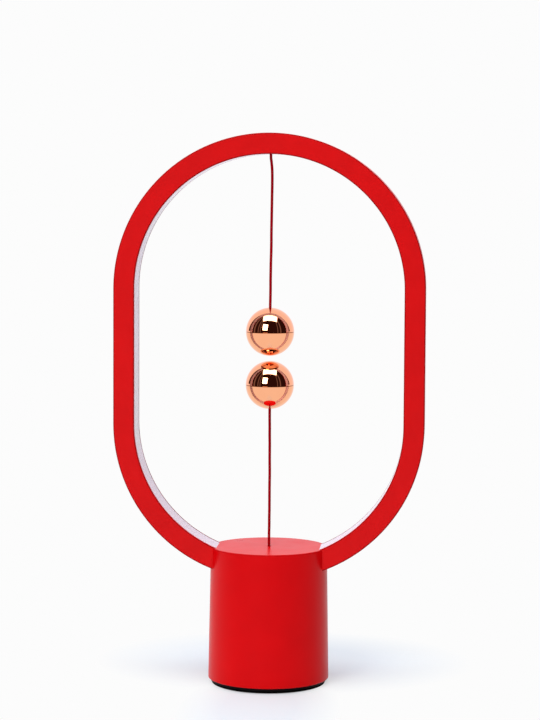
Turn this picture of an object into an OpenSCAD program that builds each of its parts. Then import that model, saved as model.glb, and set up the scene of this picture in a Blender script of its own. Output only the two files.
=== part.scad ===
// Magnetic balance lamp: an oval light ring on a round base. Two balls hang on cords, one from the
// top of the ring and one from a pull switch in the base, and their magnets hold them apart by a
// small gap at the middle of the ring.
// Millimetres. +Z is up, the front faces -Y, and the origin is on the table under the base's middle.

/* [Lamp] */
// Overall height of the lamp
lamp_h = 240; // [205:1:300]
// Height at which the two balls meet, at the middle of the gap between them
meet_z = 142.4; // [125:0.1:150]
// Gap between the two balls
ball_gap = 2.2; // [1.5:0.1:6]

/* [Ring] */
// Width of the ring, outside
ring_w = 135; // [126:1:162]
// Depth of the ring, front to back
ring_d = 18; // [15:0.5:21.5]
// Width of the ring's front face
ring_face = 9.1; // [8.6:0.1:11]
// How far the ring's inner curve dips below the top of the base
ring_dip = 4.5; // [4:0.1:5.4]
// Thickness of the ring's outer wall
ring_outer_wall = 1.5; // [1.2:0.1:1.8]
// Thickness of the ring's front and rear walls
ring_side_wall = 1.4; // [1.2:0.1:2]
// Chamfer along the ring's edges
ring_edge = 0.5; // [0.2:0.1:0.8]
// Distance between the two ends of the ring inside the base
ring_mouth = 20; // [19:0.5:23]
// Thickness of the diffuser strip
diffuser_t = 1.8; // [1.2:0.1:2.2]

/* [Base] */
// Height of the base
base_h = 60; // [57:0.5:75]
// Diameter of the base at its top
base_d = 50.8; // [50:0.1:62]
// Extra radius of the base at its bottom
base_flare = 1.0; // [0.4:0.1:1.6]
// Wall of the base at its top
base_wall = 2.0; // [1.5:0.1:2.4]
// Thickness of the base's top
base_plate = 2.5; // [2:0.1:3]
// Chamfer round the top rim of the base
rim_edge = 0.4; // [0.2:0.1:0.8]
// Height of the underside of the shell above the table
skirt_z = 2.2; // [1.9:0.1:3]
// Thickness of the rubber foot
foot_t = 1.0; // [0.8:0.1:1.2]
// How far the cover's lip reaches past the cavity of the shell
cover_lip = 1.8; // [1:0.1:2]

/* [Balls] */
// Diameter of each ball
ball_d = 21; // [18:0.5:25]
// Wall of the ball shells
ball_wall = 1.5; // [1.2:0.1:1.8]
// Diameter of each magnet
magnet_d = 9; // [7:0.5:9.5]
// Thickness of each magnet
magnet_t = 4; // [3:0.5:4.5]

/* [Cords] */
// Diameter of the cords
cord_d = 1.2; // [1:0.1:1.4]
// Diameter of the holes that the cords pass through in the base and the ring
cord_hole_d = 2.0; // [1.8:0.1:2.6]
// Diameter of the knots
knot_d = 2.7; // [2.5:0.1:2.9]

/* [Pull switch] */
// Travel of the plunger and the lower cord
pull_travel = 1.5; // [1:0.1:2]
// Travel of the button of the push switch
key_travel = 0.3; // [0.2:0.05:0.4]
// Diameter of the plunger's stem
stem_d = 4.8; // [4.4:0.1:5.2]
// Diameter of the spring chamber in the guide
chamber_d = 9; // [9:0.1:9.6]
// Outside diameter of the guide
guide_d = 12; // [11.6:0.1:12.6]
// Wire of the return spring
spring_wire = 0.5; // [0.4:0.05:0.6]
// Turns of the return spring
spring_turns = 6; // [5:1:7]

/* [Board and ballast] */
// Height of the underside of the circuit board
board_z = 16; // [15:0.5:18]
// Thickness of the circuit board
board_t = 1.6; // [1:0.1:2]
// Diameter of the ballast weight
ballast_d = 35; // [28:0.5:35.4]
// Thickness of the ballast weight
ballast_t = 8; // [5:0.5:9]

/* [Hidden] */
$fn = 64;

// Clearances
still_gap = 0.1;     // between pieces that are assembled and stay put
slide_gap = 0.08;    // radial, between the plunger and its guide
stop_gap = 0.05;     // between a moving piece and its stop at the end of its travel
turn_gap = 0.1;      // radial, between a cord and the ball that turns on it
thread_gap = 0.05;   // radial, between a screw and its pilot hole
pass_gap = 0.2;      // radial, between a screw or its head and the hole that it passes
over = 1;            // how far a cut runs past the face it opens
sink = 0.5;          // how far a boss or rib reaches into the wall that carries it

// Sides of the round faces that show most
ring_fn = 128;
ball_fn = 96;

// Colours
red = [0.84, 0.10, 0.11];
cord_red = [0.58, 0.06, 0.09];
copper = [0.86, 0.52, 0.38];
opal = [0.93, 0.92, 0.95];
black = [0.08, 0.08, 0.09];
steel = [0.72, 0.73, 0.75];
board_green = [0.10, 0.38, 0.20];
gold = [0.83, 0.66, 0.30];
ivory = [0.85, 0.85, 0.83];
acetal_white = [0.93, 0.93, 0.90];
ferrite = [0.25, 0.25, 0.27];
sleeve_blue = [0.20, 0.22, 0.30];

// Ring, in the plane y = 0: two half circles joined by straight sides
ring_r = ring_w / 2;
ring_in_r = ring_r - ring_face;
arc_top_z = lamp_h - ring_r;
arc_low_z = base_h - ring_dip + ring_in_r;
ring_inside_z = arc_top_z + ring_in_r;
cavity_half = ring_d / 2 - ring_side_wall;

// LED strip on the inner side of the outer wall
strip_t = 0.3;
strip_w = 8;
strip_r = ring_r - ring_outer_wall - still_gap;
chip_l = 2.8;
chip_w = 3.5;
chip_t = 0.8;
chip_step_a = 9;
chips_low = 8;
chip_pitch = 11;
chip_r = strip_r - strip_t - still_gap - chip_t;

// Bridge in the top of the ring that carries the upper cord
bridge_l = 10;
bridge_t = 2.2;
bridge_gap = 0.2;
bridge_z = arc_top_z + ring_in_r + diffuser_t + bridge_gap;

// Base
base_top_r = base_d / 2;
base_low_r = base_top_r + base_flare;
cavity_r = base_top_r - base_wall;
plate_z = base_h - base_plate;

// Bottom cover, its screws and the bosses that they enter
cover_t = 4.0;
cover_z = foot_t;
cover_top = cover_z + cover_t;
cover_r = cavity_r + cover_lip;
foot_inset = 0.4;
foot_r = cover_r - foot_inset;
boss_r = 2.6;
boss_at = cavity_r - boss_r;
boss_h = 25;
cover_screw_d = 2.4;
cover_screw_l = 8;
cover_head_d = 4.4;
cover_head_h = 1.4;
cover_screw_angles = [45, 135, 225, 315];

// Ballast on a stud of the cover, which ends below the ballast's top
ballast_stud_d = 6;
ballast_stud_drop = 1;

// Circuit board on posts of the cover, which stand flush with its rim
board_gap = 0.6;
board_r = cavity_r - board_gap;
board_top = board_z + board_t;
board_notch_gap = 0.4;
post_r = 2.2;
post_at = board_r - post_r;
post_angles = [0, 180, 270];
board_screw_d = 1.8;
board_screw_l = 5;
board_head_d = 3.6;
board_head_h = 1.2;

// Power socket on the rear edge of the board
socket_w = 7.5;
socket_h = 2.7;
socket_l = 5.6;
socket_wall = 0.3;
socket_corner = 1.0;
socket_gap = 0.2;
socket_mouth = sqrt(pow(cavity_r - socket_gap, 2) - pow(socket_w / 2, 2));
socket_z = board_top + still_gap;
plug_w = 12;
plug_h = 8;
plug_z = socket_z + socket_h / 2;

// Push switch under the plunger
switch_w = 6;
switch_h = 3.2;
switch_cover_t = 0.3;
key_d = 3.4;
key_up = 0.9;
key_foot = 1.3;
switch_z = board_top;
key_top = switch_z + switch_h + switch_cover_t + key_up;
key_bottom = switch_z + key_foot;

// Plunger guide, hung from two bosses under the top of the base. Each drop is measured from there.
guide_boss_gap = 6;
guide_boss_at = ring_d / 2 + guide_boss_gap;
guide_plate_drop = 12;
guide_plate_z = base_h - guide_plate_drop;
guide_plate_t = 2;
guide_top_drop = 5;
guide_top = base_h - guide_top_drop;
bearing_drop = 11;
bearing_z = base_h - bearing_drop;
guide_bottom_drop = 25.5;
guide_bottom = base_h - guide_bottom_drop;
guide_screw_d = 1.8;
guide_screw_l = 6;
guide_head_d = 3.6;
guide_head_h = 1.2;
guide_boss_r = 2.6;
guide_arm_w = 6;

// Plunger, pulled up against its stop
plunger_shoulder = bearing_z - stop_gap;
stem_drop = 0.5;
flange_drop = 22;
flange_z = base_h - flange_drop;
flange_t = 2;
flange_r = chamber_d / 2 - slide_gap;
plunger_body_d = 6.6;
tip_d = 4;
tip_hole_d = 4.6;
tip_z = key_top + pull_travel - key_travel + stop_gap;
cord_bore_gap = 0.15;
cord_bore_d = cord_d + 2 * cord_bore_gap;
window_gap = 0.2;
window_w = knot_d + 2 * window_gap;
window_drop = 19.2;
window_z = base_h - window_drop;
window_h = knot_d + window_gap;
cap_top = flange_z - pull_travel - stop_gap;
cap_lip = 1.5;

// Return spring between the plunger's flange and the guide's bearing
spring_low = flange_z + flange_t + stop_gap;
spring_high = bearing_z - stop_gap;
spring_r = (plunger_body_d / 2 + chamber_d / 2) / 2;
spring_sides = 6;
spring_steps = 8;

// Ring saddle, screwed up against four bosses
saddle_boss_r = 2.4;
saddle_boss_gap = 0.7;
saddle_y = ring_d / 2 + saddle_boss_gap + saddle_boss_r;
saddle_boss_inset = 0.6;
saddle_x = sqrt(pow(cavity_r - saddle_boss_inset - saddle_boss_r, 2) - pow(saddle_y, 2));
saddle_drop = 13;
saddle_face = base_h - saddle_drop;
saddle_gap = 0.5;
saddle_t = 4;
saddle_rise = 3;
saddle_window_x = 8.6;
saddle_window_y = 7.5;
saddle_screw_d = 1.8;
saddle_screw_l = 9;
saddle_head_d = 3.6;
saddle_head_h = 1.2;

// Balls and cords. A cord bends round a small bead of itself, which is where it swings.
ball_r = ball_d / 2;
ball_in_r = ball_r - ball_wall;
upper_ball_z = meet_z + ball_gap / 2 + ball_r;
lower_ball_z = meet_z - ball_gap / 2 - ball_r;
cord_r = cord_d / 2;
bend_gap = 0.05;
bend_rise = 0.75;
upper_pivot_z = ring_inside_z - bend_rise;
lower_pivot_z = base_h + pull_travel + bend_rise;
seat_t = 1.6;
seat_at = ball_in_r - seat_t;
seat_r = 2.4;
knot_flat = 0.9;
knot_gap = 0.15;
knot_at = seat_at - knot_gap - knot_flat;
collar_t = 1.1;
collar_drop = 1;
magnet_end = sqrt(pow(ball_in_r, 2) - pow(magnet_d / 2, 2)) - still_gap;
rib_h = 2;
lip_h = 1.0;
lip_t = 1.0;
lip_gap = 0.15;

// Upper cord: how far each point lies to the right, and its share of the way from bend to knot
upper_route = [[0, 0], [0.25, 0.03], [0.5, 0.07], [0.6, 0.12], [0.6, 0.18], [0.55, 0.24],
    [0.5, 0.3], [0.45, 0.36], [0.4, 0.42], [0.35, 0.48], [0.35, 0.54], [0.3, 0.6], [0.2, 0.66],
    [0.15, 0.72], [0.1, 0.78], [0.1, 0.84], [0.05, 0.9], [0, 0.95], [0, 1]];
// Lower cord, the same way, from bend to knot
lower_route = [[0, 0], [0, 0.05], [0.05, 0.1], [0.05, 0.16], [0.1, 0.22], [0.1, 0.28], [0.1, 0.34],
    [0.1, 0.4], [0.15, 0.46], [0.15, 0.52], [0.1, 0.58], [0.1, 0.64], [0.1, 0.7], [0.05, 0.76],
    [0.05, 0.82], [0, 0.88], [0, 0.94], [0, 1]];
cord_sides = 8;

// Two LED wires, from the connector on the board to the right-hand end of the strip. The route's
// points suit a base as high as wire_base_h, and those above wire_turn_z move with the top.
wire_d = 1;
wire_sides = 8;
wire_gap = 2.4;
connector_x = 10;
connector_y = -2;
connector_h = 4;
wire_start_z = board_top + connector_h + still_gap;
wire_base_h = 60;
wire_turn_z = 30;
wire_route = [[connector_x, connector_y, wire_start_z], [connector_x, connector_y, 24],
    [9.9, -2, 27], [9.6, -1.9, 30], [9.2, -1.7, 33], [8.6, -1.4, 36], [8, -1.1, 39],
    [7.4, -0.8, 42], [7.3, -0.6, 44], [7.3, -0.5, 46], [7.7, -0.4, 47.6], [8.6, -0.4, 48.6],
    [9.8, -0.4, 48.9]];

// A closed tube swept along points, with `sides` flat sides. Every ring is square to the route,
// turned as little as can be from an axis that the route never runs along.
function unit(v) = v / norm(v);
function ring_across(t, aside) = unit(cross(t, aside));
function tube_points(path, r, sides, aside) = [
    for (i = [0 : len(path) - 1])
        let (
            t = unit(path[min(i + 1, len(path) - 1)] - path[max(i - 1, 0)]),
            u = ring_across(t, aside),
            v = cross(t, u)
        )
        for (k = [0 : sides - 1])
            path[i] + r * (cos(360 * k / sides) * u + sin(360 * k / sides) * v)
];
function tube_faces(rings, sides) = concat(
    [for (k = [1 : sides - 2]) [0, k, k + 1]],
    [for (k = [1 : sides - 2]) let (e = (rings - 1) * sides) [e, e + k + 1, e + k]],
    [for (i = [0 : rings - 2]) for (k = [0 : sides - 1])
        let (a = i * sides + k, b = i * sides + (k + 1) % sides) [a, a + sides, b]],
    [for (i = [0 : rings - 2]) for (k = [0 : sides - 1])
        let (a = i * sides + k, b = i * sides + (k + 1) % sides) [b, a + sides, b + sides]]
);
module tube(path, r, sides, aside = [0, 1, 0]) {
    polyhedron(tube_points(path, r, sides, aside), tube_faces(len(path), sides));
}

// Points of a coil spring round the Z axis. Its wire stays inside z0 to z1.
function coil_point(a, z0, z1, wire_r) =
    [spring_r * cos(a), spring_r * sin(a),
     z0 + wire_r + (z1 - z0 - 2 * wire_r) * a / (360 * spring_turns)];
function coil_path(z0, z1, wire_r) = [
    for (i = [0 : spring_turns * spring_steps]) coil_point(360 * i / spring_steps, z0, z1, wire_r)
];
// Least gap of the coil to itself, measured from the first turn to the points one turn on
function coil_gap(path, wire_d) = min([
    for (i = [0 : spring_steps]) for (j = [i + spring_steps - 2 : i + spring_steps + 2])
        norm(path[i] - path[j]) - wire_d
]);

// A pan-head screw that points along +Z, with its head below z = 0 and a cross in the head
module screw(d, l, head_d, head_h) {
    slot_w = d / 3;
    slot_l = head_d * 0.6;
    slot_depth = head_h / 2;
    difference() {
        union() {
            translate([0, 0, -head_h / 2]) cylinder(d = d, h = head_h / 2 + l);
            translate([0, 0, -head_h]) cylinder(d = head_d, h = head_h);
        }
        for (a = [0, 90])
            rotate([0, 0, a])
                translate([-slot_l / 2, -slot_w / 2, -head_h - over])
                    cube([slot_l, slot_w, slot_depth + over]);
    }
}

// The ring's run from one end to the other, with its section as children: x is the distance from
// the arcs' middle and y is the depth. Its two ends are cut upright inside the base.
module along_ring() {
    difference() {
        union() {
            translate([0, 0, arc_top_z]) rotate([90, 0, 0]) rotate_extrude(angle = 180, $fn = ring_fn)
                children();
            for (side = [0, 180]) rotate([0, 0, side]) {
                translate([0, 0, arc_low_z]) linear_extrude(arc_top_z - arc_low_z) children();
                translate([0, 0, arc_low_z]) rotate([90, 0, 0]) rotate([0, 0, -90])
                    rotate_extrude(angle = 90, $fn = ring_fn) children();
            }
        }
        translate([-ring_mouth / 2, -ring_d, arc_low_z - ring_r - over])
            cube([ring_mouth, 2 * ring_d, base_h - arc_low_z + ring_r + over]);
    }
}

// A rectangle of the ring's section, from radius r0 to r1 and `half` to each side of the middle
module section_band(r0, r1, half) {
    translate([r0, -half]) square([r1 - r0, 2 * half]);
}

module ring_channel() {
    d2 = ring_d / 2;
    e = ring_edge;
    floor_r = ring_r - ring_outer_wall;
    color(red) along_ring()
        polygon([[ring_in_r + e, -d2], [ring_r - e, -d2], [ring_r, e - d2], [ring_r, d2 - e],
            [ring_r - e, d2], [ring_in_r + e, d2], [ring_in_r, d2 - e], [ring_in_r, cavity_half],
            [floor_r, cavity_half], [floor_r, -cavity_half], [ring_in_r, -cavity_half],
            [ring_in_r, e - d2]]);
}

module ring_diffuser() {
    color(opal) difference() {
        along_ring()
            section_band(ring_in_r, ring_in_r + diffuser_t, cavity_half - still_gap);
        translate([0, 0, ring_inside_z - over]) cylinder(d = cord_hole_d, h = diffuser_t + 2 * over);
    }
}

module led_strip() {
    color(gold) along_ring() section_band(strip_r - strip_t, strip_r, strip_w / 2);
}

// One chip at distance chip_r from the arcs' middle, on the +X side
module led_chip() {
    translate([chip_r, -chip_w / 2, -chip_l / 2]) cube([chip_t, chip_w, chip_l]);
}

module led_chips() {
    straight = arc_top_z - arc_low_z;
    chips_side = max(1, floor(straight / chip_pitch));
    color("white") {
        for (i = [0 : 180 / chip_step_a - 1])
            translate([0, 0, arc_top_z]) rotate([0, -chip_step_a * (i + 0.5), 0]) led_chip();
        for (side = [0, 180]) rotate([0, 0, side]) {
            for (i = [0 : chips_side - 1])
                translate([0, 0, arc_low_z + straight * (i + 0.5) / chips_side]) led_chip();
            for (i = [0 : chips_low - 1])
                translate([0, 0, arc_low_z]) rotate([0, chip_step_a * (i + 0.5), 0]) led_chip();
        }
    }
}

// Everything that the ring takes up, with clearance, as a full circle at the bottom
module ring_passage() {
    translate([0, 0, arc_low_z]) rotate([90, 0, 0]) rotate_extrude($fn = ring_fn)
        section_band(ring_in_r - still_gap, ring_r + still_gap, ring_d / 2 + still_gap);
}

module at_saddle_screws() {
    for (sx = [-1, 1]) for (sy = [-1, 1]) translate([sx * saddle_x, sy * saddle_y, 0]) children();
}

module at_guide_screws() {
    for (sy = [-1, 1]) translate([0, sy * guide_boss_at, 0]) children();
}

module at_cover_screws() {
    for (a = cover_screw_angles) rotate([0, 0, a]) translate([boss_at, 0, 0]) children();
}

module at_posts() {
    for (a = post_angles) rotate([0, 0, a]) translate([post_at, 0, 0]) children();
}

module base_shell() {
    color(red) difference() {
        union() {
            rotate_extrude() polygon([[0, base_h], [base_top_r - rim_edge, base_h],
                [base_top_r, base_h - rim_edge], [base_low_r, skirt_z + rim_edge],
                [base_low_r - rim_edge, skirt_z], [cavity_r, skirt_z], [cavity_r, plate_z],
                [0, plate_z]]);
            at_cover_screws() translate([0, 0, cover_top]) cylinder(r = boss_r, h = boss_h);
            at_cover_screws() translate([0, -boss_r, cover_top]) cube([boss_r + sink, 2 * boss_r, boss_h]);
            at_guide_screws() translate([0, 0, guide_plate_z + guide_plate_t])
                cylinder(r = guide_boss_r, h = plate_z - guide_plate_z - guide_plate_t + over);
            at_saddle_screws() translate([0, 0, saddle_face])
                cylinder(r = saddle_boss_r, h = plate_z - saddle_face + over);
        }
        ring_passage();
        translate([0, 0, plate_z - over]) cylinder(d = cord_hole_d, h = base_plate + 2 * over);
        at_cover_screws() translate([0, 0, cover_top - over])
            cylinder(d = cover_screw_d + 2 * thread_gap, h = cover_screw_l + over);
        at_guide_screws() translate([0, 0, guide_plate_z + guide_plate_t - over])
            cylinder(d = guide_screw_d + 2 * thread_gap, h = guide_screw_l + over);
        at_saddle_screws() translate([0, 0, saddle_face - over])
            cylinder(d = saddle_screw_d + 2 * thread_gap, h = saddle_screw_l - saddle_t + 2 * over);
        translate([-plug_w / 2, cavity_r - over, plug_z - plug_h / 2])
            cube([plug_w, base_wall + base_flare + 2 * over, plug_h]);
    }
}

module bottom_cover() {
    color(black) difference() {
        union() {
            translate([0, 0, cover_z]) cylinder(r = cover_r, h = skirt_z - cover_z);
            translate([0, 0, cover_z]) cylinder(r = cavity_r - still_gap, h = cover_t);
            translate([0, 0, cover_z])
                cylinder(d = ballast_stud_d, h = cover_t + ballast_t - ballast_stud_drop);
            at_posts() translate([0, 0, cover_z]) cylinder(r = post_r, h = board_z - cover_z);
        }
        at_cover_screws() translate([0, 0, cover_z - over]) {
            cylinder(d = cover_screw_d + 2 * pass_gap, h = cover_t + 2 * over);
            cylinder(d = cover_head_d + 2 * pass_gap, h = over + cover_head_h + still_gap);
        }
        at_posts() translate([0, 0, board_z - board_screw_l])
            cylinder(d = board_screw_d + 2 * thread_gap, h = board_screw_l + over);
    }
}

module rubber_foot() {
    edge = 0.3;
    color(black) rotate_extrude() polygon([[0, 0], [foot_r - edge, 0], [foot_r, edge],
        [foot_r, foot_t], [0, foot_t]]);
}

module cover_screws() {
    color(steel) at_cover_screws() translate([0, 0, cover_z + cover_head_h + still_gap])
        screw(cover_screw_d, cover_screw_l, cover_head_d, cover_head_h);
}

module ballast_weight() {
    edge = 0.5;
    r = ballast_d / 2;
    hole = ballast_stud_d / 2 + still_gap;
    color(steel) translate([0, 0, cover_top]) rotate_extrude() polygon([[hole, 0], [r - edge, 0],
        [r, edge], [r, ballast_t - edge], [r - edge, ballast_t], [hole, ballast_t]]);
}

module circuit_board() {
    notch_r = boss_r + board_notch_gap;
    color(board_green) difference() {
        translate([0, 0, board_z]) cylinder(r = board_r, h = board_t);
        at_cover_screws() translate([0, 0, board_z - over])
            cylinder(r = notch_r, h = board_t + 2 * over);
        at_cover_screws() translate([0, -notch_r, board_z - over])
            cube([2 * boss_r, 2 * notch_r, board_t + 2 * over]);
        at_posts() translate([0, 0, board_z - over])
            cylinder(d = board_screw_d + 2 * pass_gap, h = board_t + 2 * over);
    }
}

module board_screws() {
    color(steel) at_posts() translate([0, 0, board_top]) rotate([180, 0, 0])
        screw(board_screw_d, board_screw_l, board_head_d, board_head_h);
}

// Outline of the socket seen from behind the lamp, shrunk by `inset`
module socket_outline(inset) {
    w = socket_w / 2 - inset;
    h = socket_h - inset;
    c = socket_corner;
    polygon([[-w, h], [w, h], [w, c + inset / 2], [w - c, inset], [c - w, inset],
        [-w, c + inset / 2]]);
}

module power_socket() {
    color(steel) translate([0, socket_mouth, socket_z]) rotate([90, 0, 0]) difference() {
        linear_extrude(socket_l) socket_outline(0);
        translate([0, 0, -over]) linear_extrude(socket_l - socket_wall + over)
            socket_outline(socket_wall);
    }
}

module socket_tongue() {
    tongue_w = 4.2;
    tongue_t = 0.6;
    tongue_back = 0.8;
    tongue_gap = 0.05;
    tongue_drop = 1.1;
    color(black) translate([-tongue_w / 2, socket_mouth - socket_l + socket_wall + tongue_gap,
        socket_z + socket_h - socket_wall - tongue_drop])
        cube([tongue_w, socket_l - socket_wall - tongue_back, tongue_t]);
}

// A block that stands on the board, with its middle at x, y
module on_board(x, y, size) {
    translate([x - size[0] / 2, y - size[1] / 2, board_top]) cube(size);
}

module driver_chip() {
    x = -9;
    y = 4;
    size = [5, 4, 1.6];
    color(black) on_board(x, y, size);
}

module power_inductor() {
    x = 8;
    y = 9;
    size = [5, 5, 3];
    color(ferrite) on_board(x, y, size);
}

module capacitors() {
    y = -9.5;
    can_d = 4;
    can_h = 5;
    color(sleeve_blue) for (x = [-10, -5]) translate([x, y, board_top]) cylinder(d = can_d, h = can_h);
}

module resistors() {
    first_x = -6.5;
    y = 7.6;
    pitch = 2.2;
    count = 6;
    size = [0.8, 1.6, 0.5];
    color(black) for (i = [0 : count - 1]) on_board(first_x + pitch * i, y, size);
}

module wire_connector() {
    w = 4;
    l = 6.5;
    color("white") on_board(connector_x, connector_y, [w, l, connector_h]);
}

module led_wires() {
    rise = base_h - wire_base_h;
    for (i = [0, 1])
        color(i == 0 ? "crimson" : "black")
            tube([for (p = wire_route)
                [p[0], p[1] + wire_gap * (i - 0.5), p[2] + (p[2] > wire_turn_z ? rise : 0)]],
                wire_d / 2, wire_sides);
}

module switch_body() {
    color(black) difference() {
        on_board(0, 0, [switch_w, switch_w, switch_h]);
        translate([0, 0, key_bottom - key_travel - stop_gap])
            cylinder(d = key_d + 2 * still_gap, h = switch_h + over);
    }
}

module switch_cover() {
    leg_w = 0.7;
    leg_y = 2;
    color(steel) difference() {
        union() {
            translate([-switch_w / 2, -switch_w / 2, switch_z + switch_h])
                cube([switch_w, switch_w, switch_cover_t]);
            for (sx = [-1, 1]) for (sy = [-1, 1])
                translate([sx * (switch_w / 2 + switch_cover_t / 2) - switch_cover_t / 2,
                    sy * leg_y - leg_w / 2, switch_z])
                    cube([switch_cover_t, leg_w, switch_h + switch_cover_t]);
        }
        translate([0, 0, switch_z + switch_h - over])
            cylinder(d = key_d + 2 * still_gap, h = switch_cover_t + 2 * over);
    }
}

module switch_button() {
    color(acetal_white) translate([0, 0, key_bottom])
        cylinder(d = key_d, h = key_top - key_bottom);
}

module ring_saddle() {
    head_gap = 0.3;
    color(ivory) difference() {
        intersection() {
            union() {
                translate([-cavity_r, -saddle_y - saddle_boss_r, saddle_face - saddle_t])
                    cube([2 * cavity_r, 2 * (saddle_y + saddle_boss_r), saddle_t]);
                translate([-cavity_r, -ring_d / 2, saddle_face - saddle_t])
                    cube([2 * cavity_r, ring_d, saddle_t + saddle_rise]);
            }
            translate([0, 0, saddle_face - saddle_t - over])
                cylinder(r = cavity_r - saddle_gap, h = saddle_t + saddle_rise + 2 * over);
        }
        translate([0, ring_d / 2 + over, arc_low_z]) rotate([90, 0, 0])
            cylinder(r = ring_r + still_gap, h = ring_d + 2 * over, $fn = ring_fn);
        translate([-saddle_window_x, -saddle_window_y, saddle_face - saddle_t - over])
            cube([2 * saddle_window_x, 2 * saddle_window_y, saddle_t + saddle_rise + 2 * over]);
        at_saddle_screws() translate([0, 0, saddle_face - saddle_t - over])
            cylinder(d = saddle_screw_d + 2 * pass_gap, h = saddle_t + 2 * over);
        at_guide_screws() translate([0, 0, guide_plate_z - guide_head_h - head_gap])
            cylinder(d = guide_head_d + 4 * pass_gap, h = saddle_t + saddle_rise);
    }
}

module saddle_screws() {
    color(steel) at_saddle_screws() translate([0, 0, saddle_face - saddle_t])
        screw(saddle_screw_d, saddle_screw_l, saddle_head_d, saddle_head_h);
}

module plunger_guide() {
    arm = guide_boss_at + guide_boss_r;
    c = 1.5;
    w = guide_arm_w / 2;
    color(ivory) difference() {
        union() {
            translate([0, 0, guide_bottom]) cylinder(d = guide_d, h = guide_top - guide_bottom);
            translate([0, 0, guide_plate_z]) linear_extrude(guide_plate_t)
                polygon([[w, c - arm], [w, arm - c], [w - c, arm], [c - w, arm], [-w, arm - c],
                    [-w, c - arm], [c - w, -arm], [w - c, -arm]]);
        }
        translate([0, 0, guide_bottom - over])
            cylinder(d = chamber_d, h = bearing_z - guide_bottom + over);
        translate([0, 0, bearing_z - over])
            cylinder(d = stem_d + 2 * slide_gap, h = guide_top - bearing_z + 2 * over);
        at_guide_screws() translate([0, 0, guide_plate_z - over])
            cylinder(d = guide_screw_d + 2 * pass_gap, h = guide_plate_t + 2 * over);
    }
}

module guide_screws() {
    color(steel) at_guide_screws() translate([0, 0, guide_plate_z])
        screw(guide_screw_d, guide_screw_l, guide_head_d, guide_head_h);
}

module guide_cap() {
    color(ivory) difference() {
        union() {
            translate([0, 0, guide_bottom - cap_lip]) cylinder(d = guide_d, h = cap_lip);
            translate([0, 0, guide_bottom - over])
                cylinder(d = chamber_d - 2 * thread_gap, h = cap_top - guide_bottom + over);
        }
        translate([0, 0, guide_bottom - cap_lip - over])
            cylinder(d = tip_hole_d, h = cap_lip + cap_top - guide_bottom + 2 * over);
    }
}

module return_spring() {
    path = coil_path(spring_low, spring_high, spring_wire / 2);
    echo(return_spring_least_gap = coil_gap(path, spring_wire));
    color(steel) tube(path, spring_wire / 2, spring_sides, [0, 0, 1]);
}

module pull_plunger() {
    color(acetal_white) difference() {
        union() {
            translate([0, 0, tip_z]) cylinder(d = tip_d, h = flange_z - tip_z + over);
            translate([0, 0, flange_z]) cylinder(r = flange_r, h = flange_t);
            translate([0, 0, flange_z]) cylinder(d = plunger_body_d, h = plunger_shoulder - flange_z);
            translate([0, 0, flange_z]) cylinder(d = stem_d, h = guide_top - stem_drop - flange_z);
        }
        translate([0, 0, window_z]) cylinder(d = cord_bore_d, h = guide_top - window_z + over);
        translate([-window_w / 2, -plunger_body_d, window_z])
            cube([window_w, 2 * plunger_body_d, window_h]);
    }
}

// Knot and hidden end of the lower cord: it hangs in the plunger's window and comes out of the base
module lower_cord_end() {
    knot_z = window_z + window_h - knot_d / 2 - stop_gap;
    color(cord_red) {
        translate([0, 0, knot_z]) sphere(d = knot_d);
        translate([0, 0, knot_z]) cylinder(r = cord_r, h = lower_pivot_z - cord_r - bend_gap - knot_z);
    }
}

module upper_cord_bridge() {
    color(ivory) difference() {
        translate([-bridge_l / 2, still_gap - cavity_half, bridge_z])
            cube([bridge_l, 2 * (cavity_half - still_gap), bridge_t]);
        translate([0, 0, bridge_z - over]) cylinder(d = cord_hole_d, h = bridge_t + 2 * over);
    }
}

// Knot and hidden end of the upper cord: it sits on the bridge and comes out of the diffuser
module upper_cord_end() {
    flat = 0.4;
    knot_z = bridge_z + bridge_t + knot_d / 2 - flat;
    low = upper_pivot_z + cord_r + bend_gap;
    color(cord_red) {
        intersection() {
            translate([0, 0, knot_z]) sphere(d = knot_d);
            translate([-knot_d, -knot_d, bridge_z + bridge_t]) cube(2 * knot_d);
        }
        translate([0, 0, low]) cylinder(r = cord_r, h = knot_z - low);
    }
}

module upper_cord_bend() {
    color(cord_red) translate([0, 0, upper_pivot_z]) sphere(r = cord_r);
}

module lower_cord_bend() {
    color(cord_red) translate([0, 0, lower_pivot_z]) sphere(r = cord_r);
}

// Free stretch of a cord, from z0 at the bend to z1 at the knot in the ball
module free_cord(route, z0, z1) {
    tube([for (p = route) [p[0], 0, z0 + (z1 - z0) * p[1]]], cord_r, cord_sides);
}

module upper_cord() {
    color(cord_red) free_cord(upper_route, upper_pivot_z - cord_r - bend_gap,
        upper_ball_z + knot_at + knot_flat);
}

module lower_cord() {
    color(cord_red) free_cord(lower_route, lower_pivot_z + cord_r + bend_gap,
        lower_ball_z - knot_at - knot_flat);
}

// Knot inside a ball, cut flat where the cord enters it, for a cord that comes from above
module ball_knot() {
    color(cord_red) translate([0, 0, knot_at]) intersection() {
        sphere(d = knot_d);
        translate([-knot_d, -knot_d, -2 * knot_d + knot_flat]) cube(2 * knot_d);
    }
}

// Half ball that the cord enters from above
module cord_half() {
    seat_sink = 0.2;
    color(copper) difference() {
        union() {
            difference() {
                intersection() {
                    sphere(r = ball_r, $fn = ball_fn);
                    translate([-ball_d, -ball_d, 0]) cube(2 * ball_d);
                }
                sphere(r = ball_in_r, $fn = ball_fn);
            }
            translate([0, 0, seat_at]) cylinder(r = seat_r, h = seat_t + seat_sink);
        }
        cylinder(d = cord_d + 2 * turn_gap, h = ball_d);
    }
}

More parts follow.
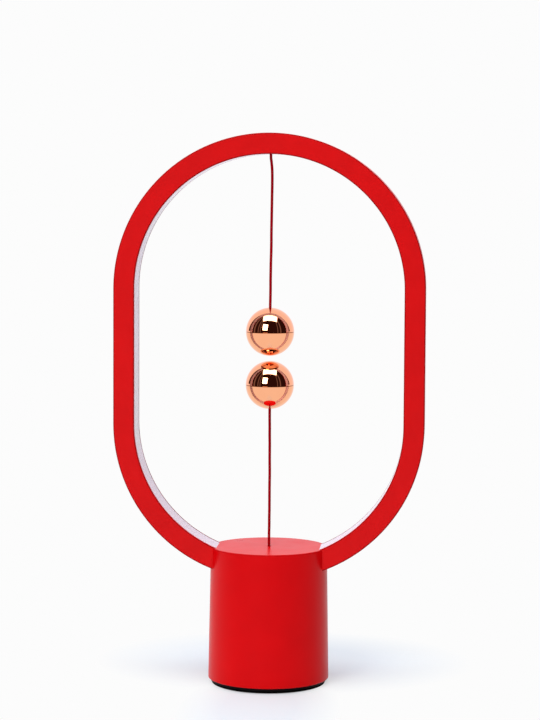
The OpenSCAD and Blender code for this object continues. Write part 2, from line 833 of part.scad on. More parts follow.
// Half ball that holds the magnet at its lower pole, with a lip that fits in the other half
module magnet_half() {
    collar_r = magnet_d / 2 + thread_gap + collar_t;
    rib_sink = 0.3;
    color(copper) difference() {
        union() {
            difference() {
                intersection() {
                    sphere(r = ball_r, $fn = ball_fn);
                    translate([-ball_d, -ball_d, -2 * ball_d]) cube(2 * ball_d);
                }
                sphere(r = ball_in_r, $fn = ball_fn);
            }
            intersection() {
                translate([0, 0, -ball_r])
                    cylinder(r = collar_r, h = ball_r - magnet_end + magnet_t - collar_drop);
                sphere(r = ball_in_r + sink, $fn = ball_fn);
            }
            difference() {
                union() {
                    translate([0, 0, -rib_h]) cylinder(r = ball_in_r + rib_sink, h = rib_h);
                    translate([0, 0, -rib_h]) cylinder(r = ball_in_r - lip_gap, h = rib_h + lip_h);
                }
                translate([0, 0, -rib_h - over])
                    cylinder(r = ball_in_r - lip_gap - lip_t, h = rib_h + lip_h + 2 * over);
            }
        }
        translate([0, 0, -magnet_end]) cylinder(d = magnet_d + 2 * thread_gap, h = ball_r);
    }
}

module magnet() {
    color(steel) translate([0, 0, -magnet_end]) cylinder(d = magnet_d, h = magnet_t);
}

// Places what is drawn for the upper ball; the lower ball is the same, upside down
module in_upper_ball() {
    translate([0, 0, upper_ball_z]) children();
}
module in_lower_ball() {
    translate([0, 0, lower_ball_z]) rotate([180, 0, 0]) children();
}

base_shell();
bottom_cover();
rubber_foot();
cover_screws();
ballast_weight();
circuit_board();
board_screws();
power_socket();
socket_tongue();
driver_chip();
power_inductor();
capacitors();
resistors();
wire_connector();
led_wires();
switch_body();
switch_cover();
ring_channel();
ring_diffuser();
led_strip();
led_chips();
ring_saddle();
saddle_screws();
plunger_guide();
guide_screws();
guide_cap();
return_spring();
upper_cord_bridge();
upper_cord_end();
pull_plunger();
lower_cord_end();
switch_button();
lower_cord_bend();
lower_cord();
in_lower_ball() ball_knot();  // lower_cord_knot
in_lower_ball() magnet_half();  // lower_ball_top
in_lower_ball() cord_half();  // lower_ball_bottom
in_lower_ball() magnet();  // lower_magnet
upper_cord_bend();
upper_cord();
in_upper_ball() ball_knot();  // upper_cord_knot
in_upper_ball() cord_half();  // upper_ball_top
in_upper_ball() magnet_half();  // upper_ball_bottom
in_upper_ball() magnet();  // upper_magnet
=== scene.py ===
"""Looks of a magnetic balance lamp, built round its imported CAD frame.

An oval light ring stands on a round base. Two plated balls hang on red braided cords, one from
the top of the ring and one from the pull switch in the base. Every length is in metres, in the
CAD model's frame: +X to the right, +Y to the back, +Z up, and the origin on the table.
"""

import logging
import math
from dataclasses import dataclass, field, replace
from enum import Enum
from functools import partial
from typing import Callable

import bmesh
import bpy
import numpy as np
from mathutils import Matrix


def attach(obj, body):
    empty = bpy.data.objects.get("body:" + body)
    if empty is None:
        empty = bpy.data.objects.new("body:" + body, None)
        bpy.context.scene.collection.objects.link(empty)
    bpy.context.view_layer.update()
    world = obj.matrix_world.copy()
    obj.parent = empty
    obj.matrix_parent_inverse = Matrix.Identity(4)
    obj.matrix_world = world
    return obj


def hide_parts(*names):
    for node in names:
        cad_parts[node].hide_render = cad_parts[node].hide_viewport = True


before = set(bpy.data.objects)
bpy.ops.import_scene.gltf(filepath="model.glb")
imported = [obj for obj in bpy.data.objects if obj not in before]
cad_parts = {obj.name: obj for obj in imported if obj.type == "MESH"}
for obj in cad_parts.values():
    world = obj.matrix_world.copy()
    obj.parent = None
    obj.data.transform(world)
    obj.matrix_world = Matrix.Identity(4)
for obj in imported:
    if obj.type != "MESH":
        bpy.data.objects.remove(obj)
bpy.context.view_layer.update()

Array = np.ndarray
Socket = bpy.types.NodeSocket
Colour = tuple[float, float, float, float]
Triple = tuple[float, float, float]
Rgb = tuple[int, int, int]
Lift = Callable[[Array], Array]

MM = 0.001
FULL_TURN = 2 * math.pi
SHORE = 0.03 * MM
WELD_CELL = 2e-7
WELD_OFFSET = 0.37
SHARP_DEG = 40.0
TINY_ANGLE = 1e-6
TINY_LENGTH = 1e-9
LOG = logging.getLogger("lamp")


def linear(red: int, green: int, blue: int) -> Colour:
    """Turns an sRGB colour into the linear one that a shader takes.

    Args:
        red: Red part, 0 to 255.
        green: Green part.
        blue: Blue part.

    Returns:
        The linear colour with an alpha of 1.
    """
    value = np.array([red, green, blue], float) / 255
    out = np.where(value <= 0.04045, value / 12.92, ((value + 0.055) / 1.055) ** 2.4)
    return (*out.tolist(), 1.0)


# ---------------------------------------------------------------- surfaces


@dataclass
class Shell:
    """A surface as whole arrays.

    Attributes:
        points: Places of the points, shape (n, 3), in metres.
        quads: Point numbers of the four-sided faces, shape (k, 4).
        uvs: Place of every face corner in the UV map, shape (k, 4, 2).
        marks: One number per point that a finish may read, shape (n,).
        caps: Flat faces with more sides, each an array of point numbers.
    """

    points: Array
    quads: Array
    uvs: Array
    marks: Array
    caps: list[Array] = field(default_factory=list)


def from_grid(points: Array, marks: Array | None = None, keep: Array | None = None) -> Shell:
    """Joins the neighbours of a grid: point (i, j) with (i + 1, j), (i + 1, j + 1), (i, j + 1).

    Args:
        points: Grid of places, shape (rows, columns, 3).
        marks: Number per grid point, or None for zeros.
        keep: True for each face that stays, shape (rows - 1, columns - 1), or None for all.

    Returns:
        The surface, with UVs that run from 0 to 1 along the columns and the rows.
    """
    rows, cols = points.shape[:2]
    number = np.arange(rows * cols).reshape(rows, cols)
    quads = np.stack([number[:-1, :-1], number[1:, :-1], number[1:, 1:], number[:-1, 1:]], -1)
    across, along = np.meshgrid(np.linspace(0, 1, cols), np.linspace(0, 1, rows))
    uv = np.stack([across, along], -1).reshape(-1, 2)
    quads = (quads if keep is None else quads[keep]).reshape(-1, 4)
    flat = np.zeros(rows * cols) if marks is None else np.asarray(marks, float).reshape(-1)
    return Shell(points.reshape(-1, 3), quads, uv[quads], flat)


def join(*shells: Shell) -> Shell:
    """Puts several surfaces into one, with their point numbers moved on."""
    starts = np.cumsum([0, *[len(s.points) for s in shells[:-1]]])
    return Shell(
        np.concatenate([s.points for s in shells]),
        np.concatenate([s.quads + k for s, k in zip(shells, starts)]),
        np.concatenate([s.uvs for s in shells]),
        np.concatenate([s.marks for s in shells]),
        [cap + k for s, k in zip(shells, starts) for cap in s.caps],
    )


def moved(shell: Shell, x: float, y: float, z: float) -> Shell:
    """The same surface, carried along by x, y and z."""
    shift = np.array([x, y, z])
    return Shell(shell.points + shift, shell.quads, shell.uvs, shell.marks, shell.caps)


def put(shell: Shell, name: str) -> bpy.types.Object:
    """Welds a surface and makes it an object at the origin, with its faces outwards.

    Points that fall into one cell of a fine lattice become one, which closes seams and poles. The
    lattice is offset, so that round numbers fall inside its cells. A face with one pair of equal
    corners becomes a triangle, and one with two pairs is left out.

    Args:
        shell: The closed surface, or several closed ones.
        name: Name of the piece.

    Returns:
        The new object, linked to the scene. Edges that turn by more than SHARP_DEG are sharp.
    """
    lattice = np.floor(shell.points / WELD_CELL + WELD_OFFSET).astype(np.int64)
    _, first, inverse = np.unique(lattice, axis=0, return_index=True, return_inverse=True)
    inverse = inverse.reshape(-1)
    quads = inverse[shell.quads]
    same = quads == np.roll(quads, -1, axis=1)
    pairs = same.sum(1)
    square, three = pairs == 0, pairs == 1
    kept = ~same[three]
    corners = [quads[square].reshape(-1), quads[three][kept]]
    uvs = [shell.uvs[square].reshape(-1, 2), shell.uvs[three][kept]]
    sides = [np.full(square.sum(), 4), np.full(three.sum(), 3)]
    for cap in shell.caps:
        loop = inverse[cap]
        loop = loop[loop != np.roll(loop, -1)]
        corners.append(loop)
        uvs.append(np.zeros((len(loop), 2)))
        sides.append(np.array([len(loop)]))
    corners, uvs, sides = np.concatenate(corners), np.concatenate(uvs), np.concatenate(sides)
    mesh = bpy.data.meshes.new(name)
    mesh.vertices.add(len(first))
    mesh.vertices.foreach_set("co", shell.points[first].astype(np.float32).ravel())
    mesh.loops.add(len(corners))
    mesh.loops.foreach_set("vertex_index", corners.astype(np.int32))
    mesh.polygons.add(len(sides))
    starts = np.concatenate([[0], np.cumsum(sides)[:-1]])
    mesh.polygons.foreach_set("loop_start", starts.astype(np.int32))
    mesh.uv_layers.new(name="UVMap").uv.foreach_set("vector", uvs.astype(np.float32).ravel())
    mark = mesh.attributes.new("mark", "FLOAT", "POINT")
    mark.data.foreach_set("value", shell.marks[first].astype(np.float32))
    mesh.update(calc_edges=True)
    mesh.validate()
    work = bmesh.new()
    work.from_mesh(mesh)
    bmesh.ops.recalc_face_normals(work, faces=work.faces)
    work.to_mesh(mesh)
    work.free()
    mesh.shade_smooth()
    mesh.set_sharp_from_angle(angle=math.radians(SHARP_DEG))
    obj = bpy.data.objects.new(name, mesh)
    bpy.context.scene.collection.objects.link(obj)
    return obj


def unit(vectors: Array) -> Array:
    """The vectors of the last axis, each one made a unit long."""
    return vectors / np.linalg.norm(vectors, axis=-1)[..., None]


def rounded(corners: Array, radii: Array, steps: int) -> Array:
    """Rounds the corners of a closed outline.

    Each corner becomes an arc that touches both of its sides, whose centre lies on the corner's
    bisector. One more point on each side, SHORE away, keeps the shading of the flats flat.

    Args:
        corners: Corners in order, shape (n, 2).
        radii: Radius of each corner, shape (n,). A corner of radius 0 stays a single point.
        steps: Points per arc.

    Returns:
        Points of the outline, shape (n * (steps + 2), 2). A corner takes steps + 2 of them.
    """
    back = unit(np.roll(corners, 1, axis=0) - corners)
    ahead = unit(np.roll(corners, -1, axis=0) - corners)
    half = np.arccos(np.clip((back * ahead).sum(1), -1, 1)) / 2
    plain = (radii <= 0) | (half > math.pi / 2 - TINY_ANGLE)
    half = np.where(plain, math.pi / 4, half)
    radius = np.where(plain, 0.0, radii)
    reach = radius / np.tan(half)
    bisector = back + ahead
    length = np.linalg.norm(bisector, axis=1)
    bisector = bisector / np.where(length < TINY_LENGTH, 1.0, length)[:, None]
    centre = corners + bisector * (radius / np.sin(half))[:, None]
    first = corners + back * reach[:, None]
    last = corners + ahead * reach[:, None]
    turn = math.pi - 2 * half
    share = np.linspace(0, 1, steps)[None, :, None]
    sweep = turn[:, None, None]
    weight_a = np.sin((1 - share) * sweep) / np.sin(sweep)
    weight_b = np.sin(share * sweep) / np.sin(sweep)
    spokes = weight_a * (first - centre)[:, None] + weight_b * (last - centre)[:, None]
    arc = centre[:, None] + spokes
    arc = np.where(plain[:, None, None], corners[:, None], arc)
    off = np.where(plain, 0.0, SHORE)[:, None]
    ends_a, ends_b = first + back * off, last + ahead * off
    return np.concatenate([ends_a[:, None], arc, ends_b[:, None]], axis=1).reshape(-1, 2)


def revolve(profile: Array, angles: Array) -> Array:
    """Turns a profile round the Z axis: (r cos a, r sin a, z) for each point and angle.

    Args:
        profile: Points (r, z), shape (n, 2).
        angles: Angles in radians, the last one a full turn after the first.

    Returns:
        Grid of places, shape (n, angles, 3).
    """
    r, z = profile[:, 0][:, None], profile[:, 1][:, None]
    height = np.broadcast_to(z, (len(r), len(angles)))
    return np.stack([r * np.cos(angles), r * np.sin(angles), height], -1)


def turned(profile: Array, count: int, marks: Array | None = None) -> Shell:
    """A closed surface of revolution.

    Args:
        profile: Points (r, z), shape (n, 2), closed or with both ends on the axis.
        count: Faces round the axis.
        marks: Mark of each point of the profile, shape (n,).

    Returns:
        The surface.
    """
    grid = revolve(profile, np.linspace(0, FULL_TURN, count + 1))
    if marks is not None:
        marks = np.repeat(marks[:, None], count + 1, 1)
    return from_grid(grid, marks=marks)


def looped(profile: Array) -> Array:
    """The profile with its first point again at the end."""
    return np.concatenate([profile, profile[:1]])


@dataclass(frozen=True)
class Boss:
    """An upright post with a blind screw bore that is open at its lower end.

    Attributes:
        radius: Radius outside.
        bore: Radius of the bore.
        low: Height of the lower end.
        high: Height of the upper end.
        depth: Depth of the bore.
        sides: Faces round the axis.
    """

    radius: float
    bore: float
    low: float
    high: float
    depth: float
    sides: int = 32

    def at(self, x: float, y: float) -> Shell:
        """The post in its place.

        Its outline (0, high), (radius, high), (radius, low), (bore, low), (bore, low + depth),
        (0, low + depth) is turned round its axis.

        Args:
            x: Place of the axis to the right.
            y: Place of the axis to the back.

        Returns:
            The closed surface.
        """
        floor = self.low + self.depth
        outline = np.array(
            [[0, self.high], [self.radius, self.high], [self.radius, self.low],
             [self.bore, self.low], [self.bore, floor], [0, floor]]
        )
        return moved(turned(outline, self.sides), x, y, 0)


def sphere_arc(radius: float, start_deg: float, end_deg: float, count: int) -> Array:
    """Points (r, z) of a circle round the origin, from one latitude to another."""
    a = np.radians(np.linspace(start_deg, end_deg, count))
    return np.stack([radius * np.cos(a), radius * np.sin(a)], -1)


def smooth_path(points: Array, step: float) -> Array:
    """Resamples a route evenly on a curve through its points.

    The curve is cubic between neighbours, with each point's slope taken from the points before
    and after it, so it passes through every point and bends evenly.

    Args:
        points: Points of the route, shape (n, 3).
        step: Wanted distance between the new points.

    Returns:
        New points, shape (m, 3), the first and last as given.
    """
    gap = np.linalg.norm(np.diff(points, axis=0), axis=1)
    at = np.concatenate([[0], np.cumsum(gap)])
    slope = np.gradient(points, at, axis=0)
    s = np.linspace(0, at[-1], max(2, int(round(at[-1] / step)) + 1))
    i = np.clip(np.searchsorted(at, s, side="right") - 1, 0, len(gap) - 1)
    h = gap[i][:, None]
    t = ((s - at[i]) / gap[i])[:, None]
    return (
        (2 * t**3 - 3 * t**2 + 1) * points[i]
        + (t**3 - 2 * t**2 + t) * h * slope[i]
        + (3 * t**2 - 2 * t**3) * points[i + 1]
        + (t**3 - t**2) * h * slope[i + 1]
    )


def round_ends(path: Array, radius: float, steps: int = 7) -> tuple[Array, Array]:
    """Gives a route two round ends.

    Args:
        path: Points of the route, shape (n, 3).
        radius: Radius of the tube.
        steps: Points per end.

    Returns:
        The route with points added beyond both ends, and the share of the radius at each point.
    """
    a = np.linspace(0, math.pi / 2, steps)[:-1][:, None]
    head, tail = unit(path[0] - path[1]), unit(path[-1] - path[-2])
    before = path[0] + head * radius * np.cos(a)
    after = (path[-1] + tail * radius * np.cos(a))[::-1]
    end = np.sin(a[:, 0])
    share = np.concatenate([end, np.ones(len(path)), end[::-1]])
    return np.concatenate([before, path, after]), share


def wrap(path: Array, along: Array, aside: Array, radius: Array, count: int) -> Array:
    """Rings round a route: centre + radius (cos a u + sin a v), with u and v square to it.

    Args:
        path: Centres of the rings, shape (n, 3).
        along: Unit direction of the route at each centre, shape (n, 3).
        aside: A direction to each centre's side, shape (3,) or (n, 3). Along x aside gives u.
        radius: Radius at each point and angle, shape (n, 1) or (n, count + 1).
        count: Points per ring.

    Returns:
        Grid of places, shape (n, count + 1, 3), whose last column repeats the first.
    """
    u = unit(np.cross(along, aside))
    v = np.cross(along, u)
    a = np.linspace(0, FULL_TURN, count + 1)
    a[-1] = 0.0
    out = np.cos(a)[None, :, None] * u[:, None] + np.sin(a)[None, :, None] * v[:, None]
    return path[:, None] + radius[:, :, None] * out


def tube(path: Array, radius: Array, count: int, aside: Triple) -> Array:
    """A tube round a route: each ring is square to the line between its neighbours.

    Args:
        path: Centres of the rings, shape (n, 3).
        radius: Radius at each point and angle, shape (n, 1) or (n, count + 1).
        count: Points per ring.
        aside: A direction that the route never runs along.

    Returns:
        Grid of places, shape (n, count + 1, 3), whose last column repeats the first.
    """
    return wrap(path, unit(np.gradient(path, axis=0)), np.array(aside), radius, count)


def border(block: Array) -> Array:
    """The outermost points of a grid in order round it, each one once."""
    return np.concatenate([block[0, :-1], block[:-1, -1], block[-1, :0:-1], block[:0:-1, 0]])


def closed(grid: Array) -> Array:
    """The grid with its first column again at the end."""
    return np.concatenate([grid, grid[:, :1]], axis=1)


@dataclass(frozen=True)
class Outline:
    """A rounded rectangle: the curve |x / a|^n + |y / b|^n = 1 round its centre.

    Attributes:
        centre: Its middle on the flat.
        half: Half of its width and of its height, a and b.
        power: The n of the curve: 2 gives an ellipse, and more squares it up.
    """

    centre: tuple[float, float]
    half: tuple[float, float]
    power: float

    def inside(self, edge: Array) -> Array:
        """Moves each point of an edge straight towards the centre until it lies on the curve.

        Args:
            edge: Points round the outline, shape (n, 2).

        Returns:
            Points of the outline, shape (n, 2).
        """
        away = edge - np.array(self.centre)
        size = (np.abs(away / np.array(self.half)) ** self.power).sum(1) ** (1 / self.power)
        return np.array(self.centre) + away / size[:, None]


def opening(
    blocks: list[Array], lifts: list[Lift], axes: list[int], outline: Outline, rings: int
) -> Shell:
    """An opening through a wall, where a block is left out of both of the wall's faces.

    On each face a patch fills the block. Each of its rings lies a share of the way from the
    block's edge to the outline, on the flat, and is then lifted on to the face. Straight walls
    join the two faces.

    Args:
        blocks: The missing block of each face, as a grid of places.
        lifts: For each face, what takes places on the flat to places on it.
        axes: The two axes of the flat.
        outline: The opening on the flat.
        rings: Rings of faces in a patch.

    Returns:
        The two patches and the walls.
    """
    share = np.linspace(0, 1, rings + 1)[1:, None, None]
    edges = [border(block) for block in blocks]
    hole = outline.inside(edges[0][:, axes])
    patches = []
    for edge, lift in zip(edges, lifts):
        flat = edge[:, axes]
        inner = lift(flat + (hole - flat) * share)
        patches.append(from_grid(closed(np.concatenate([edge[None], inner]))))
    near, far = (lift(hole) for lift in lifts)
    walls = from_grid(closed(np.stack([near, near + (far - near) / 2, far])))
    return join(*patches, walls)


# ---------------------------------------------------------------- finishes


TINT_RANGE = (0.3, 0.7)  # values of the noise between which the colour goes from dark to light
GLOSS_RANGE = (0.2, 0.8)  # values of the noise between which the gloss changes
GLOSS_PATCH = 0.6  # size of the patches of gloss, as a share of those of colour
LEAST_ROUGH = 0.02
# On painted shells an edge's look is painted shade with rougher paint, and a shaded edge's look is
# a darker painted shadow.
MARK_ON = (0.1, 0.9)  # marks between which an edge's look comes in
SECOND_MARK_ON = (1.1, 1.9)  # marks between which the look of a shaded edge comes in


class Grain(Enum):
    """Form of a finish's fine relief: its stretch per axis, and how far its gloss strays."""

    PEEL = ((1, 1, 1), 0.03)  # even and softly dimpled, as sprayed paint
    MOULDED = ((1, 1, 1), 0.12)  # fine random texture, as a spark-eroded mould leaves
    BRUSHED = ((1, 1, 0.04), 0.12)  # long parallel scratches
    SMOOTH = ((1, 1, 1), 0.02)  # polished, with hardly any relief


class Nodes:
    """Short-hand for the nodes of one tree."""

    def __init__(self, owner: bpy.types.Material | bpy.types.World) -> None:
        """Empties the owner's tree.

        Args:
            owner: The material or world whose tree it is.
        """
        owner.use_nodes = True
        self.tree = owner.node_tree
        self.tree.nodes.clear()

    def feed(self, target: Socket, value: object) -> None:
        """Links an input to a socket, or sets it to a value.

        Args:
            target: The input.
            value: The socket or the value.
        """
        if isinstance(value, Socket):
            self.tree.links.new(value, target)
        else:
            target.default_value = value

    def add(self, kind: str, **values: object) -> bpy.types.Node:
        """Adds a node, and feeds its inputs by name.

        Args:
            kind: Blender's name for the node's type, without its first word.
            values: Values or sockets, by the input's name with underscores for spaces.

        Returns:
            The new node.
        """
        node = self.tree.nodes.new(f"ShaderNode{kind}")
        for key, value in values.items():
            self.feed(node.inputs[key.replace("_", " ")], value)
        return node

    def maths(self, operation: str, *values: Socket | float, clamp: bool = False) -> Socket:
        """One step of arithmetic.

        Args:
            operation: Blender's name for the step.
            values: Sockets or numbers, in the order of the node's inputs.
            clamp: True to hold the result between 0 and 1.

        Returns:
            The result.
        """
        node = self.add("Math")
        node.operation, node.use_clamp = operation, clamp
        for target, value in zip(node.inputs, values):
            self.feed(target, value)
        return node.outputs[0]

    def mix(self, factor: Socket, a: Socket, b: Socket) -> Socket:
        """Mixes two shaders or backgrounds.

        Args:
            factor: 0 for the first one, 1 for the second one.
            a: The first one.
            b: The second one.

        Returns:
            The mixture.
        """
        node = self.add("MixShader")
        for target, value in zip(node.inputs, (factor, a, b)):
            self.feed(target, value)
        return node.outputs[0]

    def light(self, tint: Rgb, strength: Socket | float = 1.0) -> Socket:
        """A background in an sRGB colour."""
        return self.add("Background", Color=linear(*tint), Strength=strength).outputs[0]


class Skin(Nodes):
    """Short-hand for the nodes of one material with a Principled shader."""

    def __init__(self, name: str) -> None:
        """Starts an empty material with an output and its shader.

        Args:
            name: Name of the material.
        """
        self.material = bpy.data.materials.new(name)
        super().__init__(self.material)
        self.output = self.add("OutputMaterial")
        self.shader = self.add("BsdfPrincipled")
        self.feed(self.output.inputs[0], self.shader.outputs[0])

    def place(self, stretch: Triple = (1, 1, 1)) -> Socket:
        """The point's place on the object in millimetres, stretched per axis."""
        where, scale = self.add("TexCoord").outputs["Object"], [k / MM for k in stretch]
        return self.add("Mapping", Vector=where, Scale=scale).outputs[0]

    def noise(self, where: Socket, period_mm: float, detail: float = 3.0) -> Socket:
        """Noise between 0 and 1 whose lumps are about period_mm across."""
        return self.add("TexNoise", Vector=where, Scale=1 / period_mm, Detail=detail).outputs[0]

    def ramp(self, value: Socket, *stops: tuple[float, Colour]) -> Socket:
        """A colour that follows a number.

        Args:
            value: The number, 0 to 1.
            stops: Numbers and the colours that they give.

        Returns:
            The colour.
        """
        node = self.add("ValToRGB", Fac=value)
        while len(node.color_ramp.elements) < len(stops):
            node.color_ramp.elements.new(0.5)
        for element, (at, colour) in zip(node.color_ramp.elements, stops):
            element.position, element.color = at, colour
        return node.outputs[0]

    def span(
        self, value: Socket, low: float, high: float, start: float = 0.0, end: float = 1.0
    ) -> Socket:
        """Maps a number from start..end to low..high, and holds it there."""
        node = self.add(
            "MapRange", Value=value, From_Min=start, From_Max=end, To_Min=low, To_Max=high
        )
        return node.outputs[0]

    def blend(self, factor: Socket, a: Socket | Colour, b: Socket | Colour) -> Socket:
        """Mixes two colours.

        Args:
            factor: 0 for the first colour, 1 for the second one.
            a: The first colour.
            b: The second colour.

        Returns:
            The mixed colour.
        """
        node = self.add("Mix")
        node.data_type = "RGBA"
        first, second = [socket for socket in node.inputs if socket.type == "RGBA"]
        for target, value in ((node.inputs[0], factor), (first, a), (second, b)):
            self.feed(target, value)
        return next(socket for socket in node.outputs if socket.type == "RGBA")

    def relief(self, height: Socket, depth_mm: float) -> Socket:
        """A bumped normal from a height between 0 and 1."""
        return self.add("Bump", Height=height, Distance=depth_mm * MM, Strength=1.0).outputs[0]

    def mark(self) -> Socket:
        """The number that the piece's points carry.

        Returns:
            The mark.
        """
        node = self.add("Attribute")
        node.attribute_name = "mark"
        return node.outputs["Fac"]

    def set(self, **values: object) -> None:
        """Feeds the shader's own sockets, by name with underscores for spaces."""
        for key, value in values.items():
            self.feed(self.shader.inputs[key.replace("_", " ")], value)


@dataclass(frozen=True)
class Finish:
    """A plain finish with its small irregularities.

    Attributes:
        name: Name of the material.
        colour: sRGB colour of 0 to 255.
        rough: Mean roughness.
        metal: 1 for bare metal, 0 for the rest.
        grain: Form of the relief.
        grain_mm: Size of the relief's lumps.
        depth_mm: Depth of the relief.
        uneven: How far the colour strays to each side, as a share.
        patch_mm: Size of the patches in which colour and gloss stray.
        coat: Weight of a clear coat.
        level: Strength of the plain reflection, 0.5 as usual.
        slot: The record's material slot, for the finishes of new pieces. Not used.
    """

    name: str
    colour: Rgb
    rough: float
    metal: float = 0.0
    grain: Grain = Grain.MOULDED
    grain_mm: float = 0.25
    depth_mm: float = 0.01
    uneven: float = 0.05
    patch_mm: float = 6.0
    coat: float = 0.0
    level: float = 0.5
    slot: str = ""

    def shade(self, by: float) -> Colour:
        """The colour made lighter, or darker where by is below 0, by that share."""
        return (*(min(1.0, part * (1 + by)) for part in linear(*self.colour)[:3]), 1.0)

    def tint(self, skin: Skin) -> Socket:
        """The colour, straying in soft patches.

        Args:
            skin: The material's nodes.

        Returns:
            The colour.
        """
        patches = skin.noise(skin.place(), self.patch_mm)
        shades = (self.shade(-self.uneven), self.shade(self.uneven))
        return skin.ramp(patches, *zip(TINT_RANGE, shades))

    def gloss(self, skin: Skin, even: Socket) -> Socket:
        """The roughness, from the patchy one that every finish has."""
        return even

    def build(self) -> bpy.types.Material:
        """Makes the material: patchy colour, patchy gloss and a fine relief.

        Returns:
            The material.
        """
        skin = Skin(self.name)
        stretch, spread = self.grain.value
        fine = skin.noise(skin.place(stretch), self.grain_mm, 2.0)
        patches = skin.noise(skin.place(), self.patch_mm * GLOSS_PATCH, 4.0)
        low, high = max(LEAST_ROUGH, self.rough - spread), min(1.0, self.rough + spread)
        skin.set(
            Base_Color=self.tint(skin),
            Roughness=self.gloss(skin, skin.span(patches, low, high, *GLOSS_RANGE)),
            Metallic=self.metal,
            Normal=skin.relief(fine, self.depth_mm),
            Coat_Weight=self.coat,
            Specular_IOR_Level=self.level,
        )
        return skin.material


@dataclass(frozen=True)
class PaintedShell(Finish):
    """Satin paint with painted shade along its edges, and a darker painted shadow on an edge that
    lies in the shade.

    Attributes:
        edge: Painted shade along edges: change of the colour where the mark is 1, as a share.
        shaded: Painted shadow: change of the colour where the mark is 2.
        dull: How much rougher the paint is on its edges.
    """

    edge: float = -0.42
    shaded: float = -0.92
    dull: float = 0.5

    def tint(self, skin: Skin) -> Socket:
        """The paint's colour, straying in patches, with painted shade where the mark is 1 or 2.

        Args:
            skin: The material's nodes.

        Returns:
            The colour.
        """
        first = skin.span(skin.mark(), 0.0, 1.0, *MARK_ON)
        second = skin.span(skin.mark(), 0.0, 1.0, *SECOND_MARK_ON)
        # Painted shade: the colour darkens along edges where the mark is 1, and darker still, as a
        # painted shadow, where it is 2.
        wear_and_edge_shade = skin.blend(first, super().tint(skin), self.shade(self.edge))
        return skin.blend(second, wear_and_edge_shade, self.shade(self.shaded))

    def gloss(self, skin: Skin, even: Socket) -> Socket:
        """The roughness, higher where the mark is 1 or 2."""
        return skin.maths("ADD", even, skin.span(skin.mark(), 0.0, self.dull, *MARK_ON))


@dataclass(frozen=True)
class BraidedCord(Finish):
    """Dyed cord with loose fibres: a painted highlight makes it bright on its strands, and painted
    shade dark between them.

    Attributes:
        fibre: Stretch of a fibre per axis.
        fray: How far the fibres stray from the strands' own height.
        strand_shading: Change of the colour in a pit, half way up and on top of a strand.
        heights: Heights of the strand for those three changes of colour.
        fade: How much of the faded dye shows, at most, and how much darker it is.
        dye_mm: Size of the patches where it shows.
        dye_range: Values of their noise between which it comes in.
        spread: How far the roughness strays down and up.
    """

    fibre: Triple = (1, 1, 0.35)
    fray: float = 0.12
    strand_shading: Triple = (-0.55, 0.0, 0.2)
    heights: Triple = (0.05, 0.5, 1.0)
    fade: tuple[float, float] = (0.25, -0.2)
    dye_mm: float = 3.0
    dye_range: tuple[float, float] = (0.3, 0.8)
    spread: tuple[float, float] = (-0.2, 0.05)

    def build(self) -> bpy.types.Material:
        """Makes the material from the braid's own mark and from fine fibres across it.

        Returns:
            The material.
        """
        skin = Skin(self.name)
        fibre = skin.noise(skin.place(self.fibre), self.grain_mm, 4.0)
        dye = skin.noise(skin.place(), self.dye_mm)
        strand = skin.maths("ADD", skin.mark(), skin.span(fibre, -self.fray, self.fray))
        # Painted shade in the pits between strands, and a painted highlight on their tops.
        shaded_strand = skin.ramp(strand, *zip(self.heights, map(self.shade, self.strand_shading)))
        most, darker = self.fade
        faded = skin.span(dye, 0.0, most, *self.dye_range)
        skin.set(
            Base_Color=skin.blend(faded, shaded_strand, self.shade(darker)),
            Roughness=skin.span(fibre, *(self.rough + off for off in self.spread)),
            Normal=skin.relief(fibre, self.depth_mm),
            Specular_IOR_Level=self.level,
        )
        return skin.material


@dataclass(frozen=True)
class Plating(Finish):
    """Mirror plating with faint ripples and hairline scratches, dark in the seam.

    Attributes:
        seam: Change of the colour where the mark is 1, as a share.
        hair: Stretch of a scratch per axis.
        hair_mm: Distance between scratches.
        hair_range: Values of their noise between which a scratch comes in.
        wear_and_edge_shade: How much rougher a scratch is, as a factor.
    """

    seam: float = -0.85
    hair: Triple = (1, 0.05, 1)
    hair_mm: float = 0.12
    hair_range: tuple[float, float] = (0.55, 0.75)
    wear_and_edge_shade: float = 2.2

    def tint(self, skin: Skin) -> Socket:
        """The plating's colour, much darker where the mark is 1."""
        return skin.blend(skin.mark(), super().tint(skin), self.shade(self.seam))

    def build(self) -> bpy.types.Material:
        """Makes the material: the tint strays a little, and scratches raise the roughness.

        Returns:
            The material.
        """
        skin = Skin(self.name)
        hair = skin.noise(skin.place(self.hair), self.hair_mm, 1.0)
        swell = skin.noise(skin.place(), self.grain_mm, 1.0)
        skin.set(
            Base_Color=self.tint(skin),
            Metallic=self.metal,
            Roughness=skin.span(hair, self.rough, self.rough * self.wear_and_edge_shade, *self.hair_range),
            Normal=skin.relief(swell, self.depth_mm),
        )
        return skin.material


